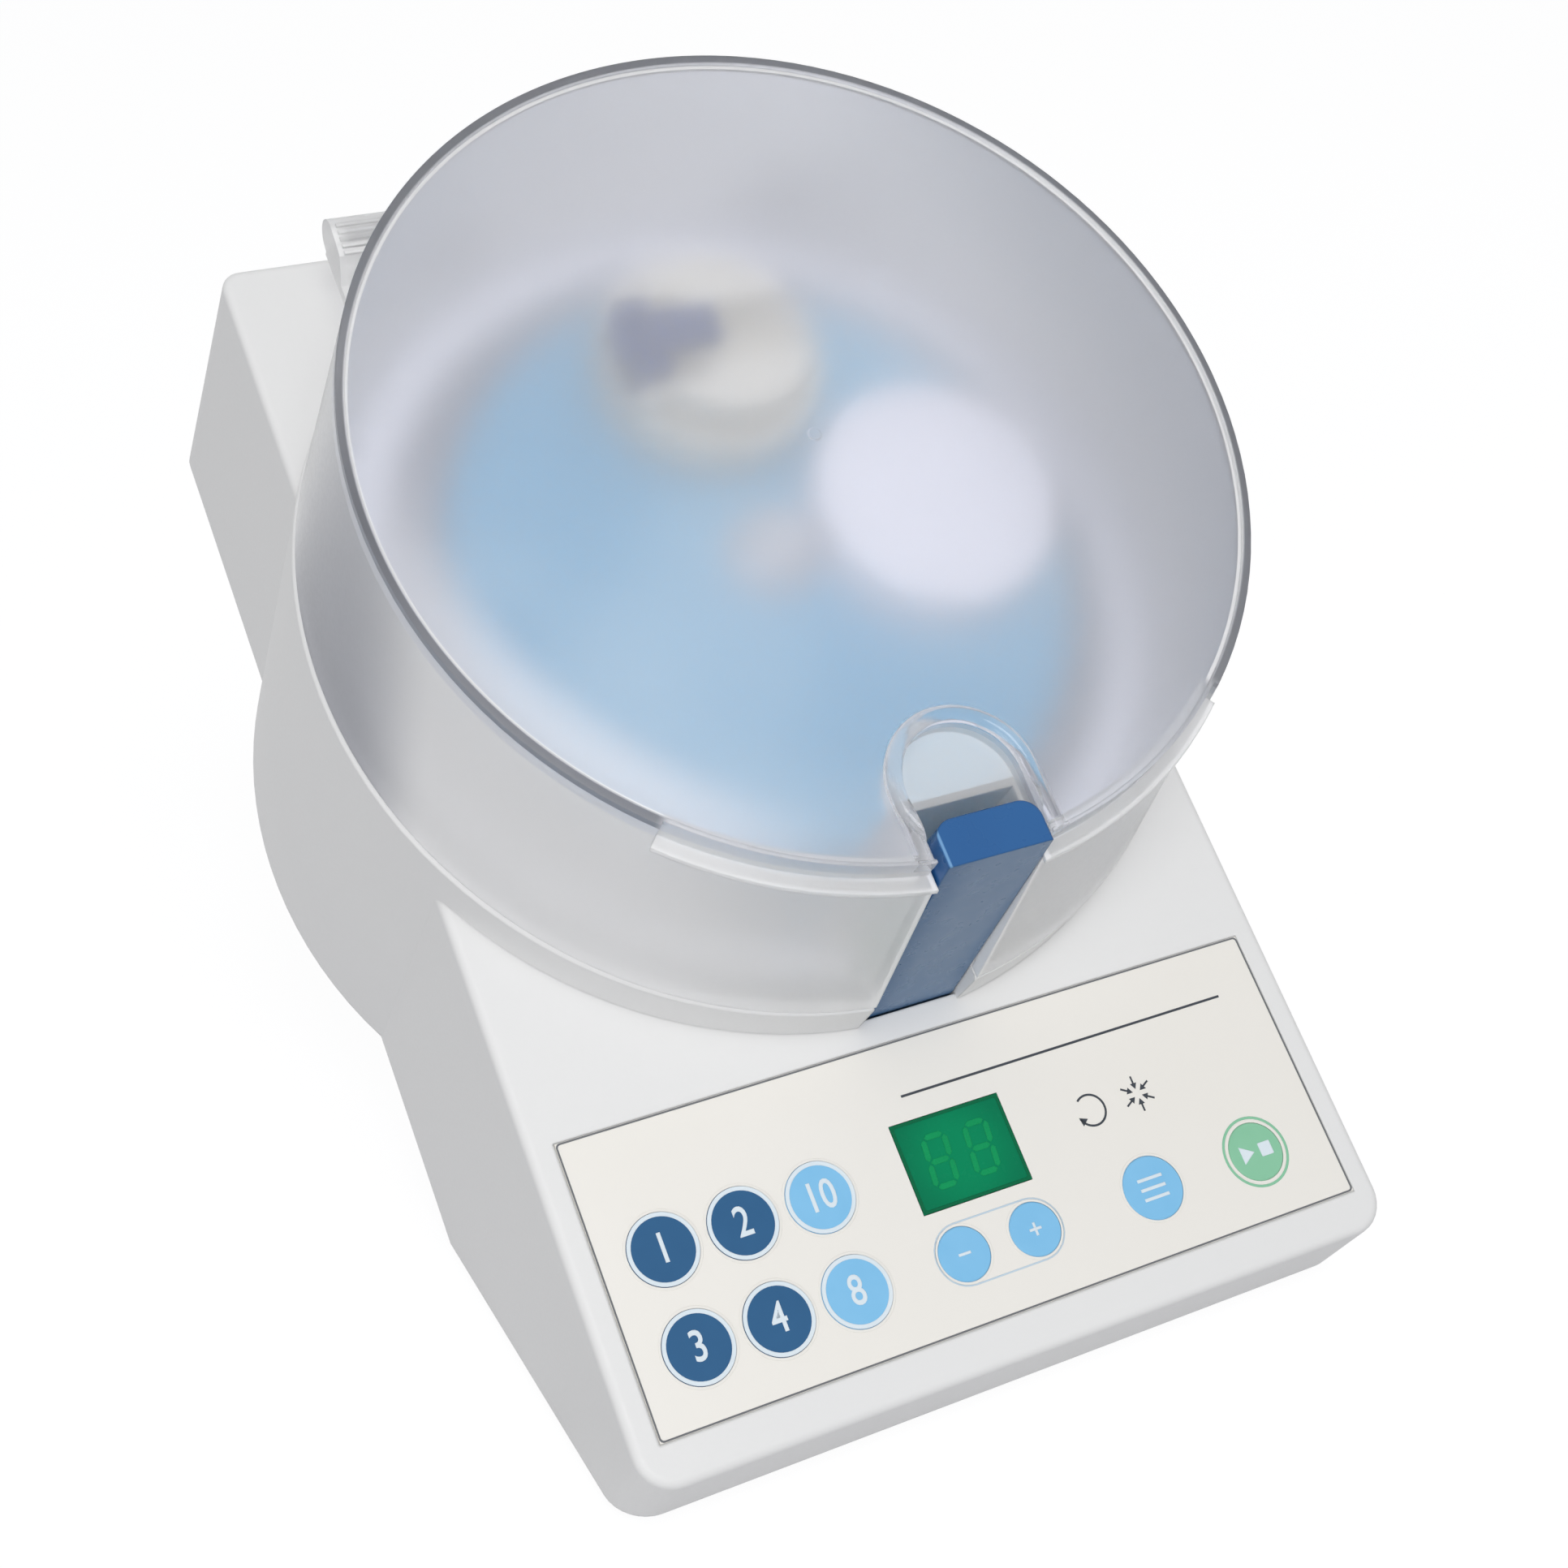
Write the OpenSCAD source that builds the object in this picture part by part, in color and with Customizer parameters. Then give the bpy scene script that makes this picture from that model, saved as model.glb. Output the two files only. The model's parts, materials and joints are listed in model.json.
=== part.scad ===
// Dental capsule mixer with a sloping deck, a frosted drum lid and a spinning capsule cradle.
// Most pieces are drawn in the deck's own frame: x across, y up the slope from the front ridge and
// z square to the deck, with z = 0 on the deck. The whole model is then tilted by deck_angle.

/* [Housing] */
// Slope of the deck above the table, in degrees
deck_angle = 40; // [36:0.5:44]
// Width of the body across the deck
body_w = 150; // [144:0.5:164]
// Length of the deck behind the lid's hinge axis
rear_margin = 6.9; // [6.5:0.1:16]
// Height of the front face, square to the deck
front_h = 19.5; // [17:0.5:24]
// How far the foot of the front face leans in, or less than 0 where it stands out
front_lean = -1.5; // [-3:0.5:4]
// How far the foot of the rear wall leans out
rear_lean = 7.5; // [3:0.5:12]
// Thickness of the body's walls
wall = 2.5; // [2.2:0.1:3]
// Radius of the front upright corners
front_corner_r = 7; // [5:0.5:11]
// Radius of the rear upright corners
rear_corner_r = 4; // [2.5:0.5:8]
// Radius of the edges round the deck
edge_r = 1.6; // [0.8:0.1:2.2]
// Thickness of the base plate that closes the body
plate_t = 2.5; // [2:0.1:3.5]

/* [Collar and bowl] */
// Distance from the keypad foil to the collar
keypad_gap = 3.5; // [2:0.1:6]
// Inner radius of the mixing bowl
bowl_r = 70; // [68:0.5:74]
// Width of the collar round the bowl's wall
collar_w = 13.5; // [12.5:0.1:15]
// Height of the collar above the deck
collar_h = 10; // [9:0.5:12]
// Depth of the bowl's floor below the deck
bowl_depth = 30; // [28:0.5:33]
// Thickness of the bowl's wall and floor
bowl_t = 2; // [1.6:0.1:2.2]

/* [Lid] */
// Height of the lid
lid_h = 44.4; // [43:0.2:50]
// How much smaller the lid's radius is at the top
lid_taper = 3.4; // [2.5:0.1:5]
// How far the top of the lid is set back from its base
lid_setback = 4.5; // [3:0.1:7]
// Thickness of the lid
lid_t = 2.2; // [1.8:0.1:2.6]
// Height of the raised rim round the lid's top
rim_h = 0.8; // [0.4:0.1:1.2]
// Width of the raised rim
rim_w = 1.6; // [1:0.1:2]
// Height of the step in the rim at the front
step_h = 5; // [3:0.5:6.5]
// Half of the angle that the front step spans
step_half_angle = 40; // [30:1:44]
// How far the front step cuts into the rim
step_depth = 1; // [0.6:0.1:2]
// How far the ledge under the front step stands proud
ledge_out = 1; // [0.5:0.1:1.6]
// Width of the bead round the finger well
bead_w = 3.2; // [2.4:0.1:4]
// Height of the bead above the rim
bead_rise = 0.2; // [0:0.05:0.6]
// Length of the finger well from the latch's front
well_l = 25; // [22:0.2:28]
// Gap beside the latch in the finger well
well_gap = 1.1; // [0.6:0.1:2]
// Depth of the finger well's floor
well_d = 5; // [4:0.1:8]
// Height of the lid's hinge axis above the deck
hinge_h = 15.2; // [14.5:0.1:16.5]
// Radius of the lid's hinge lugs
lug_r = 3.7; // [3.4:0.1:4.2]
// Radius of the hinge pins
hinge_pin_r = 1.6; // [1.2:0.1:2]

/* [Latch] */
// Width of the latch
latch_w = 19.6; // [17:0.2:21]
// Thickness of the latch at its foot
latch_foot_t = 6.2; // [5:0.2:6.6]
// Thickness of the latch at its head
latch_head_t = 8; // [7:0.2:9]
// How far the latch's head is set back from its foot
latch_lean = 6.2; // [4:0.2:7]
// Depth of the latch's pivot below the deck
latch_pivot_depth = 12; // [10:0.5:14]
// How far the latch swings back, in degrees
latch_swing = 3.5; // [3:0.1:5]
// Radius of the latch's pin
latch_pin_r = 1.5; // [1.2:0.1:2]

/* [Rotor] */
// Gap between the rotor disc and the bowl's wall
rotor_gap = 10; // [8:0.5:12]
// Thickness of the rotor disc
rotor_t = 8; // [6:0.5:9]
// Height of the rotor disc's top above the deck
rotor_top = 20; // [19:0.5:21]
// Radius of the motor's shaft
shaft_r = 4; // [3:0.1:4.5]
// Distance from the rotor's axis to the cradle's axis
cradle_offset = 38; // [36.5:0.5:39]
// Radius of the capsule cradle
cradle_r = 21; // [18:0.5:22]
// Height of the capsule cradle
cradle_h = 15; // [13:0.5:15.5]
// Diameter of the capsule that the cradle takes
capsule_d = 12; // [10:0.5:13]
// Radius of the cradle's spindle
spindle_r = 4; // [3:0.1:4.5]
// Radius of the white counterweight
weight_r = 24; // [20:0.5:25]
// Height of the white counterweight
weight_h = 11; // [8:0.5:13]
// Gap between the counterweight and the hub's nut
weight_gap = 1; // [0.5:0.1:2]
// Running radius of the fixed pulley
fixed_pulley_r = 16; // [14:0.5:17]
// Running radius of the cradle's pulley
cradle_pulley_r = 12; // [10:0.5:13]

/* [Motor] */
// Radius of the motor's can
motor_r = 30; // [27:0.5:33]
// Height of the motor's can
motor_h = 32; // [28:0.5:38]
// Gap between the motor's can and the base plate
motor_gap = 1.5; // [1:0.1:4]
// Distance of the motor's four mounts from its axis, along x and y
mount_pitch = 42; // [39:0.5:44]
// Height of the rubber mounts
mount_h = 6; // [4:0.5:8]

/* [Keypad] */
// Width of the deck beside the keypad foil
foil_side = 5; // [4:0.5:7]
// Width of the deck in front of the keypad foil
foil_front = 7.6; // [6:0.1:12]
// Height of the keypad foil
foil_h = 52; // [50:0.5:60]
// Thickness of the keypad foil
foil_t = 0.5; // [0.4:0.05:0.6]
// Radius of the programme and time keys
key_r = 6.4; // [5.5:0.1:6.8]
// Radius of the minus and plus keys
small_key_r = 4.9; // [4:0.1:6]
// Radius of the mode key
mode_key_r = 5.9; // [5:0.1:7]
// Radius of the start and stop key
start_key_r = 5.5; // [5:0.1:7]
// Distance between the columns of keys
key_pitch_x = 14.8; // [14.2:0.1:15.2]
// Distance between the two rows of keys
key_pitch_y = 17.1; // [16:0.1:18]
// Travel of a key
key_travel = 0.5; // [0.3:0.05:0.55]
// Width of the display window
window_w = 22; // [20:0.5:24]
// Height of the display window
window_h = 16.5; // [15:0.5:18]

/* [Stand and rear] */
// Width of the stand under the rear of the body
stand_w = 120; // [114:1:124]
// Length of the stand along the table
stand_l = 84; // [80:1:92]
// Radius of the rubber feet
foot_r = 8; // [6:0.5:10]
// How far the feet stand proud
foot_proud = 2; // [1.5:0.1:3]
// Width of the mains inlet's socket
inlet_w = 24; // [22:0.5:26]
// Height of the mains inlet's socket
inlet_h = 16.5; // [15:0.5:18]
// Width of the rocker switch
rocker_w = 12; // [10:0.5:14]
// Height of the rocker switch
rocker_h = 18; // [16:0.5:20]

/* [Hidden] */

$fn = 96;
// Clearances
fit = 0.2;
free = 0.4;
running = 0.05;
seam = 0.6;
// Reach of the cutting blocks and overlap of a cut past a face
reach = 400;
over = 1;
thin = 0.01;

// Colours
WHITE = "#e4e4e3";
FROST = "#c9cbd2";
BLUE = "#2b5fa0";
PALE_BLUE = "#9cc3dc";
KEY_BLUE = "#2f6496";
KEY_SKY = "#85c4ec";
STEEL = "#b5b8bb";
DARK = "#2a2c2f";

// Places along the deck, from its front ridge
foil_w = body_w - 2 * foil_side;
foil_y = foil_front + foil_h / 2;
collar_r = bowl_r + bowl_t + collar_w;
bowl_y = foil_front + foil_h + keypad_gap + collar_r;
hinge_y = bowl_y + collar_r;
deck_l = hinge_y + rear_margin;

// Depths below the deck
motor_drop = 4;
motor_plate_t = 2;
floor_z = -bowl_depth;
motor_top = floor_z - bowl_t - motor_drop;
body_d = motor_gap + motor_h + motor_plate_t - motor_top + plate_t;

// Where the table meets the body, in the deck's frame
table_z = front_lean * sin(deck_angle) - front_h * cos(deck_angle);
keel_y = front_lean + (body_d - front_h) / tan(deck_angle);
front_t = edge_r * (cos(deck_angle) + sin(deck_angle) - 1);
room_front = wall + 2 * min(front_lean, 0);
room_cut = max(front_lean, -2 * front_lean) + (2 - sqrt(2)) * (front_corner_r - wall);
rear_t = (deck_l + rear_lean) * cos(deck_angle) + body_d * sin(deck_angle);
mid_t = (front_t + rear_t) / 2;

// Base plate and posts
plate_top = plate_t - body_d;
post_r = 4;
post_inset = 10;
post_x = body_w / 2 - wall - post_inset;
post_keel_gap = 11;
post_ys = [keel_y + post_keel_gap, deck_l - post_inset];
case_screw_l = 12;
screw_r = 1.5;
screw_head_r = 3;
screw_head_h = 1.6;
recess_w = 3.4;
recess_t = 0.8;
recess_depth = 1;
cavity_drop = 5;
plate_gap = 1.5;

// Bowl
shelf_gap = 0.5;
shelf_r = bowl_r + bowl_t + shelf_gap;
flange_w = 5.5;
flange_r = shelf_r + flange_w;
flange_t = 1.5;
seal_gap = 0.6;
seal_inner_r = flange_r + seal_gap;
seal_w = 2.8;

// Lid, drawn as a leaning cone cut by two planes
lid_z = collar_h + seam;
lid_top = lid_z + lid_h;
lid_in = 0.1;
lid_r = collar_r - lid_in;
lid_top_r = lid_r - lid_taper;
lid_top_y = bowl_y + lid_setback;
front_slope = atan((lid_taper + lid_setback) / lid_h);
rear_slope = atan((lid_setback - lid_taper) / lid_h);
cone_tilt = (front_slope + rear_slope) / 2;
cone_draft = (front_slope - rear_slope) / 2;
apex_z = lid_z + lid_h * lid_r / lid_taper;
apex_y = bowl_y + lid_setback * lid_r / lid_taper;
cone_past = 1.15;
cone_short = 0.9;
cone_far = (apex_z - lid_z) * cone_past;
cone_near = (apex_z - lid_top) * cone_short;
ledge_t = 0.9;
gate_r = 1.2;
gate_h = 0.3;
lug_x = 39;
lug_w = 18;
lug_cap = 2;
lug_crest = 6;
lug_drop = 1;
lug_foot = 9;
lug_web = 2;
lug_root_share = 0.6;
lug_root_y = bowl_y + lid_r * lug_root_share;
dimple_r = 0.8;
ear_w = 8;
ear_r = lug_r - fit;
rib_count = 5;
rib_pitch = 1.4;
rib_w = 0.8;
rib_h = 0.4;

// Latch
latch_in = 2;
latch_proud = 0.6;
latch_pivot_back = 1.2;
latch_front_y = bowl_y - collar_r + latch_in;
latch_top = lid_top + latch_proud;
latch_pivot_y = latch_front_y + latch_foot_t / 2 + latch_pivot_back;
latch_toe = 1;
latch_corner_r = 3.6;
latch_boss_r = 4.2;
latch_boss_w = 12;
latch_rib_t = 3;
latch_rib_l = 10.5;
latch_rib_in = 1.2;
latch_rib_drop = 5;
latch_rib_gap = 1;
latch_rib_x = latch_w / 2 + latch_rib_gap;
spring_t = 1.4;
spring_gap = 1;
lid_switch_size = [20, 6.4, 10];
lid_switch_gap = 1.6;
lid_switch_turn = 20;
latch_slot_r = latch_w / 2 + free;
latch_head_y = latch_front_y + latch_lean;
latch_head_h = 6;
latch_foot_h = 6;
well_r = latch_w / 2 + well_gap;
well_y = latch_head_y + well_l - well_r;
well_t = 1.8;
channel_y = latch_head_y + latch_head_t + (latch_top + latch_pivot_depth) * sin(latch_swing) + free;
channel_lift = 2;
channel_z = lid_z + channel_lift;
bead_r = bead_w / 2;
bead_trim = 0.2;

// Rotor
rotor_r = bowl_r - rotor_gap;
rotor_bottom = rotor_top - rotor_t;
rotor_bevel = 2;
rotor_round = 2.4;
hub_r = 10;
hub_step = 1;
hub_flange_w = 5;
hub_flange_t = 2.4;
nut_r = 7;
nut_h = 6;
nut_bevel = 1;
shaft_end = 2;
cradle_y = bowl_y + cradle_offset;
cradle_gap = 2.2;
cradle_z = rotor_top + cradle_gap;
cradle_base_h = 5;
cradle_top = cradle_z + cradle_h;
cradle_rim_t = 2;
cradle_rim_h = 3;
cup_in = 4.5;
cup_r = cradle_r - cup_in;
spindle_in = 3;
trough_drop = 5;
trough_z = cradle_top - trough_drop;
trough_r = capsule_d / 2 + fit;
bearing_w = 4.5;
bearing_r = spindle_r + bearing_w;
bearing_h = 6;
bearing_sink = 0.8;
pulley_drop = 13;
pulley_z = rotor_bottom - pulley_drop;
pulley_h = 9;
pulley_lip = 1.2;
shaft_gap = 1.5;
pulley_bore = shaft_r + shaft_gap;
pulley_neck = 3;
belt_t = 1.2;
belt_side_gap = 0.3;
belt_h = pulley_h - 2 * (pulley_lip + belt_side_gap);
belt_slack = 0.3;
weight_crown = 3;
weight_offset = nut_r + weight_gap + weight_r;
weight_angle = 2;
clip_w = 16;
clip_t = 3;
clip_in = 5;
clip_x = clip_in - cradle_r;
clip_reach = 14;
clip_drop = 4;
clip_bar_gap = 1.2;
clip_z = cradle_top - clip_drop;
clip_bar_z = clip_drop + clip_bar_gap;
clip_tail = 3;
clip_below = 1.4;
clip_slot = 11;
clip_pin_r = 1.2;
cheek_t = 2.6;
clip_pin_l = clip_w + 2 * (free + cheek_t);

// Motor
motor_low = motor_top - motor_plate_t - motor_h;
can_t = 2;
coil_gap = 6;
coil_w = 7;
air_gap = 0.5;
armature_in = 1;
motor_bearing_w = 5;
motor_bearing_r = shaft_r + motor_bearing_w;
motor_bearing_h = 5;
motor_bearing_sink = 0.5;
neck_wall = 2;
neck_r = motor_bearing_r + neck_wall;
mount_wall = 2;
mount_r = post_r + mount_wall;
boss_r = post_r + 1;
motor_plate_margin = 8;
motor_screw_grip = 8;

// Keypad
recess = 0.35;
key_t = 1.2;
key_proud = 0.35;
key_stem_r = 2;
key_stem_l = 4.1;
key_bevel = 0.2;
key_gap = 0.1;
first_key_in = 11.6;
mode_in = 38.4;
start_in = 15.7;
first_key_x = first_key_in - foil_w / 2;
upper_row = 3.6;
lower_row = upper_row - key_pitch_y;
minus_x = -7.7;
plus_x = 6.7;
mode_x = foil_w / 2 - mode_in;
start_x = foil_w / 2 - start_in;
window_x = -1;
window_y = 3.2;
board_t = 1.6;
board_post_r = 2.8;
small_screw_r = 1.2;
small_head_r = 2.5;
board_screw_grip = 4;
module_in = 1;
switch_w = 6;
switch_h = 3.5;
board_top = key_proud - key_t - key_stem_l - key_travel - running - switch_h;
board_side = 2;
board_end = 4;
board_post_side = 3.5;
board_post_end = 4;
board_w = foil_w - 2 * board_side;
board_h = foil_h - 2 * board_end;
board_post_x = board_w / 2 - board_post_side;
board_post_y = board_h / 2 - board_post_end;
KEYS = [
    [first_key_x, upper_row, key_r],
    [first_key_x + key_pitch_x, upper_row, key_r],
    [first_key_x, lower_row, key_r],
    [first_key_x + key_pitch_x, lower_row, key_r],
    [first_key_x + 2 * key_pitch_x, upper_row, key_r],
    [first_key_x + 2 * key_pitch_x, lower_row, key_r],
    [minus_x, lower_row, small_key_r],
    [plus_x, lower_row, small_key_r],
    [mode_x, lower_row, mode_key_r],
    [start_x, lower_row, start_key_r]
];

// Stand, in the table's frame: x across, y away from the user, z up from the table plane
keel_t = keel_y * cos(deck_angle) + body_d * sin(deck_angle);
stand_gap = 10;
stand_front = keel_t + stand_gap;
stand_rear = stand_front + stand_l;
stand_t = 2.5;
stand_screw_side = 12;
stand_screw_front = 13;
stand_screw_rear = 23.5;
stand_screw_x = stand_w / 2 - stand_screw_side;
stand_screw_ts = [stand_front + stand_screw_front, stand_rear - stand_screw_rear];
stand_screw_ys = [for (t = stand_screw_ts) keel_y + (t - keel_t) / cos(deck_angle)];
stand_screw_grip = 5;
pad_h = 6;
front_plane_t = front_lean * cos(deck_angle) + front_h * sin(deck_angle);
front_foot_back = 9;
front_foot_side = 20;
rear_foot_in = 4;
front_foot_t = front_plane_t + foot_r + front_foot_back;
front_foot_x = body_w / 2 - foot_r - front_foot_side;
rear_foot_t = stand_rear - foot_r - rear_foot_in;
rear_foot_x = stand_w / 2 - foot_r - rear_foot_in;
foot_recess = 1;
foot_bevel = 0.6;
inlet_x = 24;
inlet_z = 30;
inlet_depth = 18;
inlet_wall = 2;
fuse_h = 8;
inlet_back = 4;
inlet_flange_t = 2;
inlet_flange_w = 2.2;
fuse_in = 1;
fuse_proud = 0.6;
fuse_grip = [8, 1.1, 1.6];
pin_recess = 5;
pin_tail = 3;
pin_w = 2;
pin_h = 4;
PINS = [[-7, -2], [0, 2], [7, -2]];
rocker_x = -30;
rocker_z = 34;
rocker_tilt = 8;
rocker_border = 2;
rocker_well = 9;
rocker_pivot_in = 4;
rocker_pin_r = 1.5;
rocker_pin_in = 1.2;
rocker_low = 2.5;
rocker_mid = 4.6;
rocker_high = 6.6;
switch_depth = 14;
switch_lip = 2;
switch_lip_t = 1.8;
core_w = 54;
core_l = 36;
core_h = 32;
core_gap = 27;
core_t = keel_t - core_gap;
coil_out = 6;
coil_in = 9;
coil_low = 5;
tab_t = 2;
tab_l = 12;
tab_end = 5;
tab_gap = 1;
core_tab_x = core_w / 2 + tab_end + tab_gap;

// Frames

module on_deck() {
    translate([0, -mid_t, foot_proud - table_z]) rotate([deck_angle, 0, 0]) children();
}

module on_table() {
    translate([0, -mid_t, foot_proud]) children();
}

// An outline in y and z, extruded across x
module across(w) {
    rotate([90, 0, 90]) linear_extrude(w, center = true) children();
}

// A cylinder along x with its middle at x = 0
module bar(r, w) {
    rotate([0, 90, 0]) cylinder(h = w, r = r, center = true);
}

// The children on the right and their mirror image on the left
module both_sides() {
    children();
    mirror([1, 0, 0]) children();
}

module at_corners(x, y) {
    for (sx = [-1, 1], sy = [-1, 1]) translate([sx * x, sy * y, 0]) children();
}

module ring(outer, inner, h) {
    difference() {
        cylinder(h = h, r = outer);
        translate([0, 0, -over]) cylinder(h = h + 2 * over, r = inner);
    }
}

// A screw whose head, with its cross recess, sits below z = 0 and whose shank points up
module screw(length, shank_r = screw_r, head_r = screw_head_r) {
    difference() {
        translate([0, 0, -screw_head_h]) cylinder(h = screw_head_h, r = head_r);
        for (turn = [0, 90]) rotate(turn) translate([-recess_w / 2, -recess_t / 2, -screw_head_h - over])
            cube([recess_w, recess_t, over + recess_depth]);
    }
    translate([0, 0, -thin]) cylinder(h = length + thin, r = shank_r);
}

// Everything below the table plane, in the deck's frame
module below_table() {
    translate([0, front_lean, -front_h]) rotate([-deck_angle, 0, 0])
        translate([-reach / 2, -reach / 2, -reach]) cube(reach);
}

// Housing

module edge_ring(r) {
    rotate_extrude($fn = 32) translate([r - edge_r, 0]) circle(edge_r, $fn = 24);
}

module foot_disc(r) {
    cylinder(h = thin, r = r, $fn = 32);
}

module body_block() {
    front_x = body_w / 2 - front_corner_r;
    rear_x = body_w / 2 - rear_corner_r;
    front_foot_y = front_lean * body_d / front_h + front_corner_r;
    rear_foot_y = deck_l + rear_lean - rear_corner_r;
    difference() {
        hull() for (side = [-1, 1]) {
            translate([side * front_x, front_corner_r, -edge_r]) edge_ring(front_corner_r);
            translate([side * rear_x, deck_l - rear_corner_r, -edge_r]) edge_ring(rear_corner_r);
            translate([side * front_x, front_foot_y, -body_d]) foot_disc(front_corner_r);
            translate([side * rear_x, rear_foot_y, -body_d]) foot_disc(rear_corner_r);
        }
        below_table();
    }
}

module bulge() {
    bevel = 0.7;
    difference() {
        translate([0, bowl_y, 0]) rotate_extrude() polygon([
            [0, -body_d], [collar_r, -body_d], [collar_r, collar_h - bevel],
            [collar_r - bevel, collar_h], [0, collar_h]
        ]);
        below_table();
    }
}

module body_cavity() {
    depth = body_d + cavity_drop;
    front_in = wall / cos(atan(front_lean / front_h));
    half = body_w / 2 - wall;
    intersection() {
        across(body_w) polygon([
            [front_lean * wall / front_h + front_in, -wall],
            [front_lean * depth / front_h + front_in, -depth],
            [deck_l + rear_lean * depth / body_d - wall, -depth],
            [deck_l + rear_lean * wall / body_d - wall, -wall]
        ]);
        translate([0, 0, -depth - over]) linear_extrude(depth + 2 * over) polygon([
            [-half, room_front + room_cut], [room_cut - half, room_front],
            [half - room_cut, room_front], [half, room_front + room_cut],
            [half, deck_l + rear_lean + over], [-half, deck_l + rear_lean + over]
        ]);
    }
}

module bowl_cavity() {
    translate([0, bowl_y, -body_d - over]) {
        cylinder(h = body_d + over + collar_h - wall, r = collar_r - wall);
        cylinder(h = body_d + 2 * over + collar_h, r = shelf_r);
    }
}

// The slot through the collar and deck that the latch stands in
module latch_slot() {
    depth = latch_foot_t + latch_head_t;
    translate([-latch_slot_r, latch_front_y - free, -wall - over])
        cube([2 * latch_slot_r, depth, wall + collar_h + 2 * over]);
    translate([-latch_slot_r, bowl_y - collar_r - over, 0])
        cube([2 * latch_slot_r, depth, collar_h + over]);
}

module hinge_ear() {
    translate([lug_x - free - ear_w / 2, 0, 0]) {
        translate([0, hinge_y, hinge_h]) bar(ear_r, ear_w);
        translate([-ear_w / 2, hinge_y - ear_r, -wall]) cube([ear_w, 2 * ear_r, hinge_h + wall]);
    }
}

module key_pockets() {
    for (k = KEYS) translate([k[0], foil_y + k[1], 0]) {
        translate([0, 0, key_proud - key_t - key_travel - key_gap])
            cylinder(h = key_t + key_travel, r = k[2] + fit);
        translate([0, 0, -wall - over]) cylinder(h = wall + over, r = key_stem_r + free);
    }
}

// The opening for the display window, cut through a layer that reaches the given depth
module window_hole(depth) {
    translate([window_x, window_y, 0])
        cube([window_w + fit, window_h + fit, 2 * (depth + over)], center = true);
}

module latch_rib() {
    low = -latch_pivot_depth - latch_rib_drop;
    translate([latch_rib_x, bowl_y - collar_r + latch_rib_in, low])
        cube([latch_rib_t, latch_rib_l, collar_h - over - low]);
}

module housing() color(WHITE) on_deck() {
    difference() {
        union() {
            difference() {
                union() {
                    body_block();
                    bulge();
                }
                body_cavity();
                bowl_cavity();
            }
            both_sides() {
                hinge_ear();
                latch_rib();
                for (y = post_ys) translate([post_x, y, plate_top])
                    cylinder(h = -plate_top - wall / 2, r = post_r);
            }
            translate([0, foil_y, board_top]) at_corners(board_post_x, board_post_y)
                cylinder(h = -board_top - wall / 2, r = board_post_r);
        }
        both_sides() for (y = post_ys) translate([post_x, y, plate_top - over])
            cylinder(h = case_screw_l + 2 * over, r = screw_r);
        translate([0, foil_y, board_top - over]) at_corners(board_post_x, board_post_y)
            cylinder(h = board_screw_grip + 2 * over, r = small_screw_r);
        translate([0, hinge_y, hinge_h]) bar(hinge_pin_r + running, 2 * lug_x + over);
        translate([0, latch_pivot_y, -latch_pivot_depth])
            bar(latch_pin_r, 2 * (latch_rib_x + latch_rib_t) + over);
        latch_slot();
        translate([-foil_w / 2 - fit, foil_y - foil_h / 2 - fit, -recess])
            cube([foil_w + 2 * fit, foil_h + 2 * fit, recess + over]);
        translate([0, foil_y, 0]) window_hole(wall);
        key_pockets();
    }
}

// Base plate: it lies on the table plane at the front and follows the body's underside behind

module plate_outline() {
    half = body_w / 2 - wall - fit;
    polygon([
        [-half, room_front + room_cut], [room_cut - half, room_front],
        [half - room_cut, room_front], [half, room_front + room_cut],
        [half, deck_l + rear_lean], [-half, deck_l + rear_lean]
    ]);
    translate([0, bowl_y]) circle(collar_r - wall - fit);
}

module base_plate() color(WHITE) on_deck() {
    front_y = front_lean + wall + plate_gap;
    front_z = -front_h - (front_y - front_lean) * tan(deck_angle);
    rear_y = deck_l + rear_lean - wall - plate_gap;
    difference() {
        union() {
            intersection() {
                across(2 * collar_r) polygon([
                    [front_y, front_z], [keel_y, -body_d], [rear_y, -body_d], [rear_y - fit, plate_top],
                    [keel_y + plate_t * tan(deck_angle / 2), plate_top],
                    [front_y + plate_t * sin(deck_angle), front_z + plate_t * cos(deck_angle)]
                ]);
                translate([0, 0, -body_d - over]) linear_extrude(body_d) plate_outline();
            }
            translate([0, bowl_y, plate_top - thin]) at_corners(mount_pitch, mount_pitch)
                cylinder(h = motor_top - motor_plate_t - mount_h - plate_top + thin, r = boss_r);
        }
        translate([0, bowl_y, 0]) at_corners(mount_pitch, mount_pitch)
            translate([0, 0, motor_top - motor_plate_t - mount_h - motor_screw_grip - over])
                cylinder(h = body_d, r = screw_r);
        both_sides() for (y = post_ys) translate([post_x, y, -body_d - over]) {
            cylinder(h = plate_t + 2 * over, r = screw_r + fit);
            cylinder(h = over + screw_head_h, r = screw_head_r + fit);
        }
        both_sides() for (y = stand_screw_ys) translate([stand_screw_x, y, -body_d - over])
            cylinder(h = plate_t + 2 * over, r = screw_r + fit);
        translate([0, front_lean, -front_h]) rotate([-deck_angle, 0, 0]) translate([0, -front_plane_t, -over])
            both_sides() {
                translate([front_foot_x, front_foot_t, 0]) cylinder(h = over + foot_recess, r = foot_r);
                translate([core_tab_x, core_t, 0]) cylinder(h = plate_t + 2 * over, r = screw_r);
            }
    }
}

// Stand: a wedge-shaped box under the rear of the body

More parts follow.
